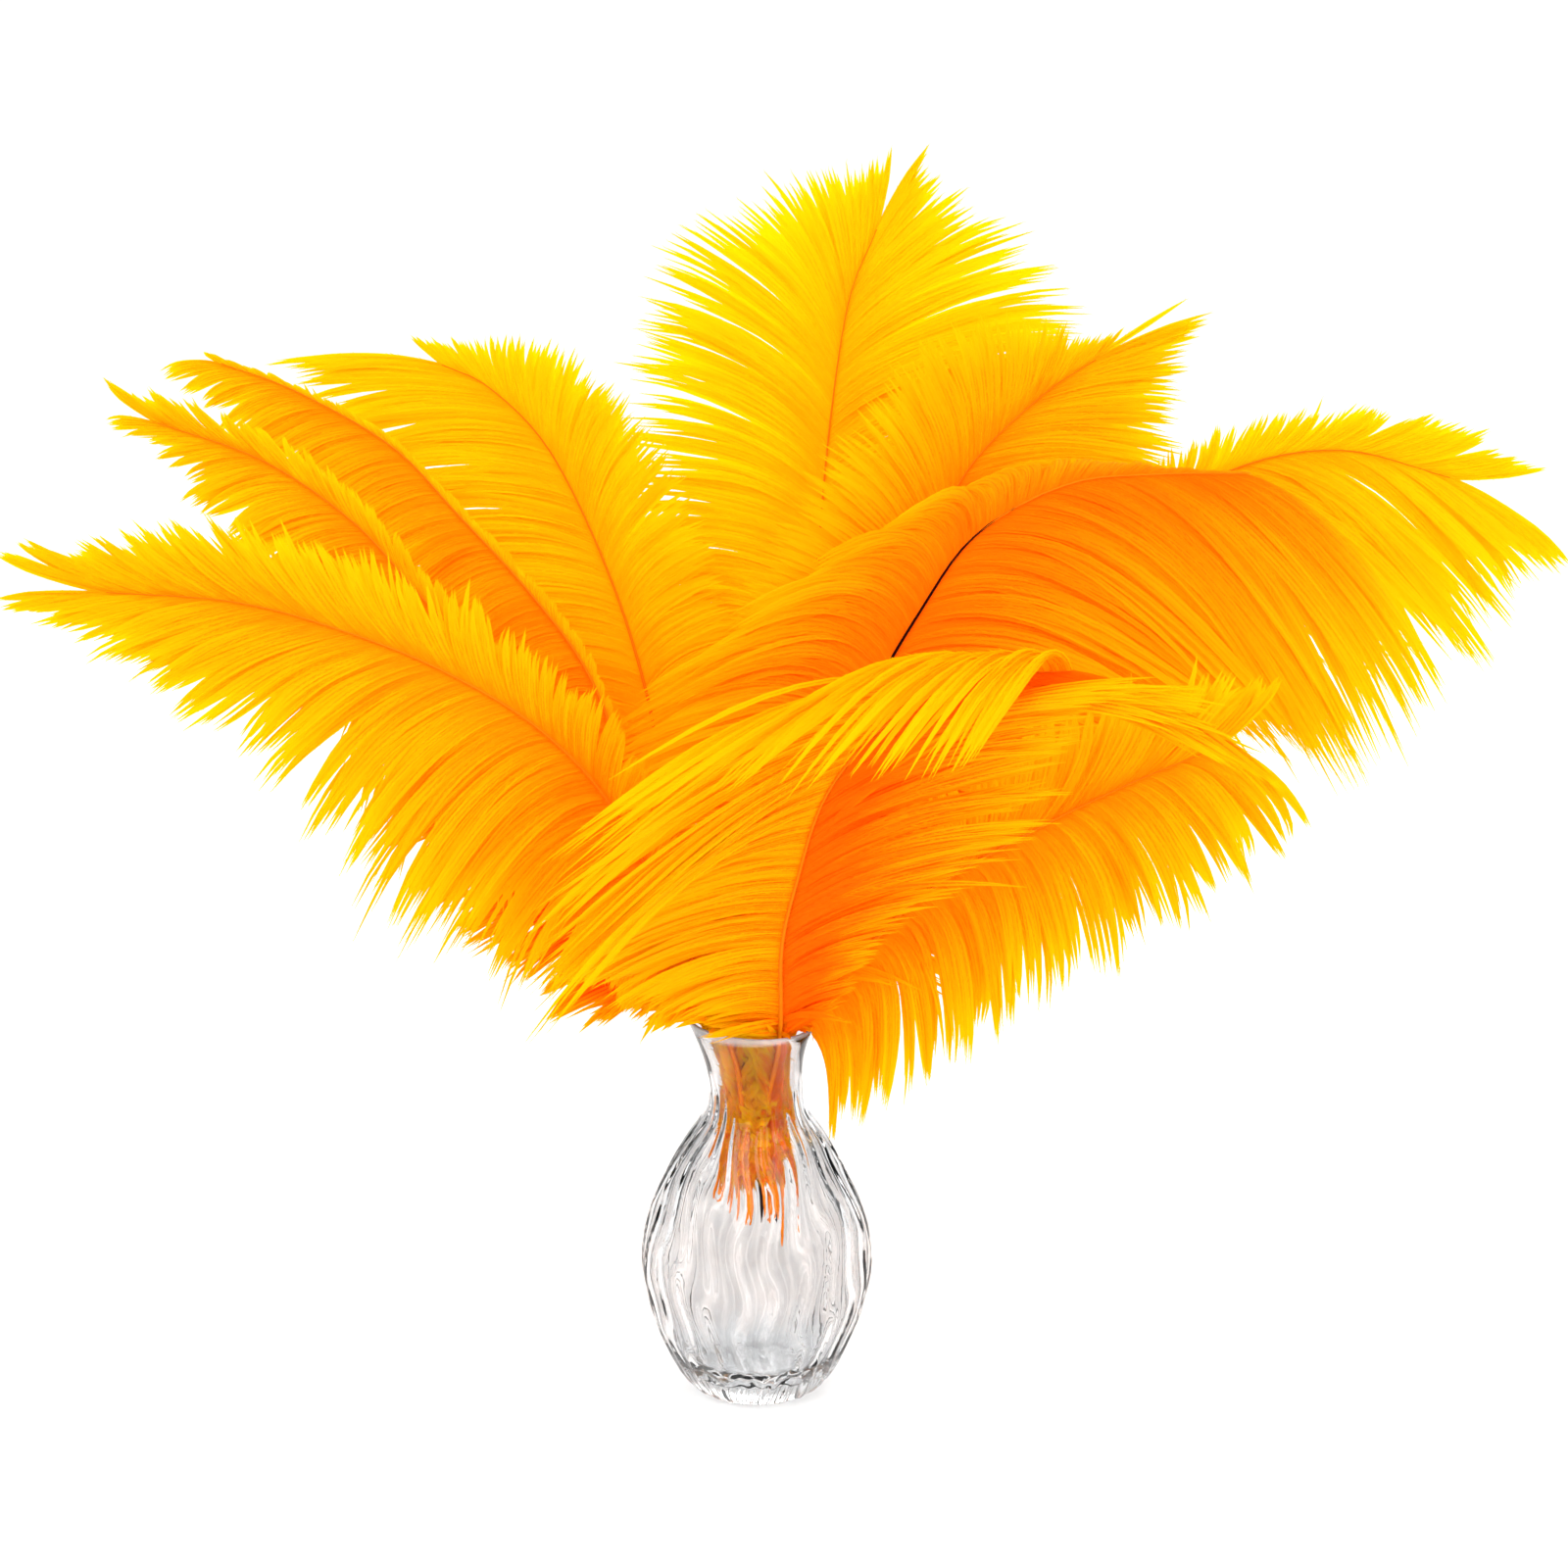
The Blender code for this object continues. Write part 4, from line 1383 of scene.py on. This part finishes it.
@dataclass
class Bunch:
    """All the plumes, grown one after another with the same feathering."""

    glass: Vase
    plumes: tuple[Plume, ...] = PLUMES
    feathering: Feathering = field(default_factory=Feathering)
    first_seed: int = 701
    most_triangles: int = 200_000

    def build(self) -> list[bpy.types.Object]:
        """Grow every plume.

        Returns:
            The plumes.
        """
        tree = self.feathering.tree()
        grown = []
        for number, plume in enumerate(self.plumes):
            guides = BarbGuides(plume, self.glass, self.first_seed + number)
            lines = guides.mesh()
            finish = plume.dye.value.material(plume.name + "_dye", number + 1, guides.barbs_a_side)
            piece = tree.grow(lines, plume.name + "_barbs", finish)
            triangles = sum(len(p.vertices) - 2 for p in piece.data.polygons)
            if triangles > self.most_triangles:
                raise ValueError(f"{plume.name} has {triangles} triangles")
            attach(piece, "root")
            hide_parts(plume.name)
            LOG.info("%s: %d triangles", piece.name, triangles)
            grown.append(piece)
        return grown


# ---------------------------------------------------------------- studio


@dataclass
class Studio:
    """The pale floor, the soft lights, the world and the camera. Sizes are in metres."""

    aim: Triple = (0.0098, 0.0, 0.223)
    distance: float = 1.28
    elevation: float = 15.0
    lens: float = 85.0
    sensor: float = 36.0
    floor_size: float = 60.0
    floor_drop: float = 0.0005
    # each light's name, place, size and watts
    lights: tuple[tuple[str, Triple, Pair, float], ...] = (
        ("key", (-0.9, -1.3, 1.5), (1.2, 1.2), 14.0),
        ("fill", (1.3, -1.0, 0.8), (1.0, 1.2), 7.0),
        ("back", (0.3, 1.5, 1.2), (1.6, 1.0), 10.0),
    )
    # brightness of the surround, of the backdrop and side cards as the glass shows them, of what
    # polished surfaces mirror outside and within, and of what lights the down through the glass
    surround: float = 1.35
    backdrop: float = 0.80
    card: float = 0.14
    gloss: float = 0.28
    facing_glass: float = 0.25
    inside: float = 5.0
    # where those begin and end, as parts of a direction: the cards across and up, the darker edge of
    # the backdrop and its level, and the room on the camera's side
    card_across: Pair = (0.60, 0.72)
    card_up: Pair = (0.55, 0.70)
    edge_across: Pair = (0.22, 0.34)
    edge_level: float = 0.8
    camera_side: Pair = (-0.5, -0.2)

    def floor(self) -> bpy.types.Object:
        """Lay the floor.

        Returns:
            The floor.
        """
        half = self.floor_size / 2
        mesh = bpy.data.meshes.new("studio_floor")
        corners = [(-half, -half, 0), (half, -half, 0), (half, half, 0), (-half, half, 0)]
        mesh.from_pydata(corners, [], [(0, 1, 2, 3)])
        mesh.materials.append(StudioPaper().material("studio_paper"))
        plane = put("studio_floor", mesh)
        plane.location.z = -self.floor_drop
        return plane

    def light(self, name: str, place: Triple, size: Pair, watts: float) -> bpy.types.Object:
        """Hang a soft light that faces the bunch.

        Args:
            name: the light's name.
            place: where it hangs.
            size: its width and height.
            watts: its power.

        Returns:
            The light.
        """
        lamp = bpy.data.lights.new(name, "AREA")
        lamp.shape, lamp.size, lamp.size_y, lamp.energy = "RECTANGLE", size[0], size[1], watts
        hung = put(name, lamp)
        hung.location = place
        hung.rotation_euler = self.facing(place, self.aim)
        return hung

    @staticmethod
    def facing(place: Triple, target: Triple) -> Euler:
        """The rotation that turns a light or camera at place towards target."""
        return (Vector(target) - Vector(place)).to_track_quat("-Z", "Y").to_euler()

    def world(self) -> None:
        """A white surround for the eye, with grey cards at the sides for the glass to show."""
        world = bpy.data.worlds.new("studio_world")
        bpy.context.scene.world = world
        world.use_nodes = True
        world.node_tree.nodes.clear()
        t = TreeMaker(world.node_tree)
        look = t.node("ShaderNodeSeparateXYZ", {0: t.node("ShaderNodeTexCoord").outputs["Generated"]})
        x, y, z = look.outputs[:3]
        across = t.math("ABSOLUTE", x)
        card = t.math("MULTIPLY", t.fit(across, *self.card_across), t.fit(z, *self.card_up, 1.0, 0.0))
        through = t.fit(across, *self.edge_across, self.backdrop, self.backdrop * self.edge_level)
        through = t.mix(card, through, self.card, "FLOAT")
        through = t.mix(t.fit(y, *self.camera_side, 1.0, 0.0), through, self.facing_glass, "FLOAT")
        path = t.node("ShaderNodeLightPath").outputs
        has_lit = t.math("GREATER_THAN", path["Diffuse Depth"], 0.5)
        through = t.mix(has_lit, through, self.inside, "FLOAT")
        level = t.mix(path["Is Glossy Ray"], self.surround, self.gloss, "FLOAT")
        level = t.mix(path["Is Transmission Ray"], level, through, "FLOAT")
        level = t.mix(path["Is Camera Ray"], level, 1.0, "FLOAT")
        shade = t.out("ShaderNodeBackground", {"Color": (1.0, 1.0, 1.0, 1.0), "Strength": level})
        t.node("ShaderNodeOutputWorld", {"Surface": shade})

    def camera(self) -> bpy.types.Object:
        """Set up the camera.

        Returns:
            The camera.
        """
        tilt = math.radians(self.elevation)
        x, _, z = self.aim
        place = (x, -self.distance * math.cos(tilt), z + self.distance * math.sin(tilt))
        lens = bpy.data.cameras.new("camera")
        lens.lens, lens.sensor_width = self.lens, self.sensor
        held = put("camera", lens)
        held.location = place
        held.rotation_euler = self.facing(place, self.aim)
        bpy.context.scene.camera = held
        return held

    def build(self) -> None:
        """Set up the whole studio."""
        self.camera()
        self.floor()
        self.world()
        for light in self.lights:
            self.light(*light)
        view = bpy.context.scene.view_settings
        view.view_transform, view.look, view.exposure, view.gamma = "Standard", "None", 0.0, 1.0


# ---------------------------------------------------------------- the whole


def main() -> None:
    """Build the studio, the vase and the plumes, and report each piece."""
    logging.basicConfig(level=logging.INFO, format="%(name)s: %(message)s")
    Studio().build()
    vase = Vase()
    glass = vase.build()
    LOG.info("%s: %d faces", glass.name, len(glass.data.polygons))
    plumes = Bunch(vase).build()
    total = sum(len(p.vertices) - 2 for piece in plumes for p in piece.data.polygons)
    LOG.info("%d plumes, %d triangles", len(plumes), total)


if __name__ == "__main__":
    main()
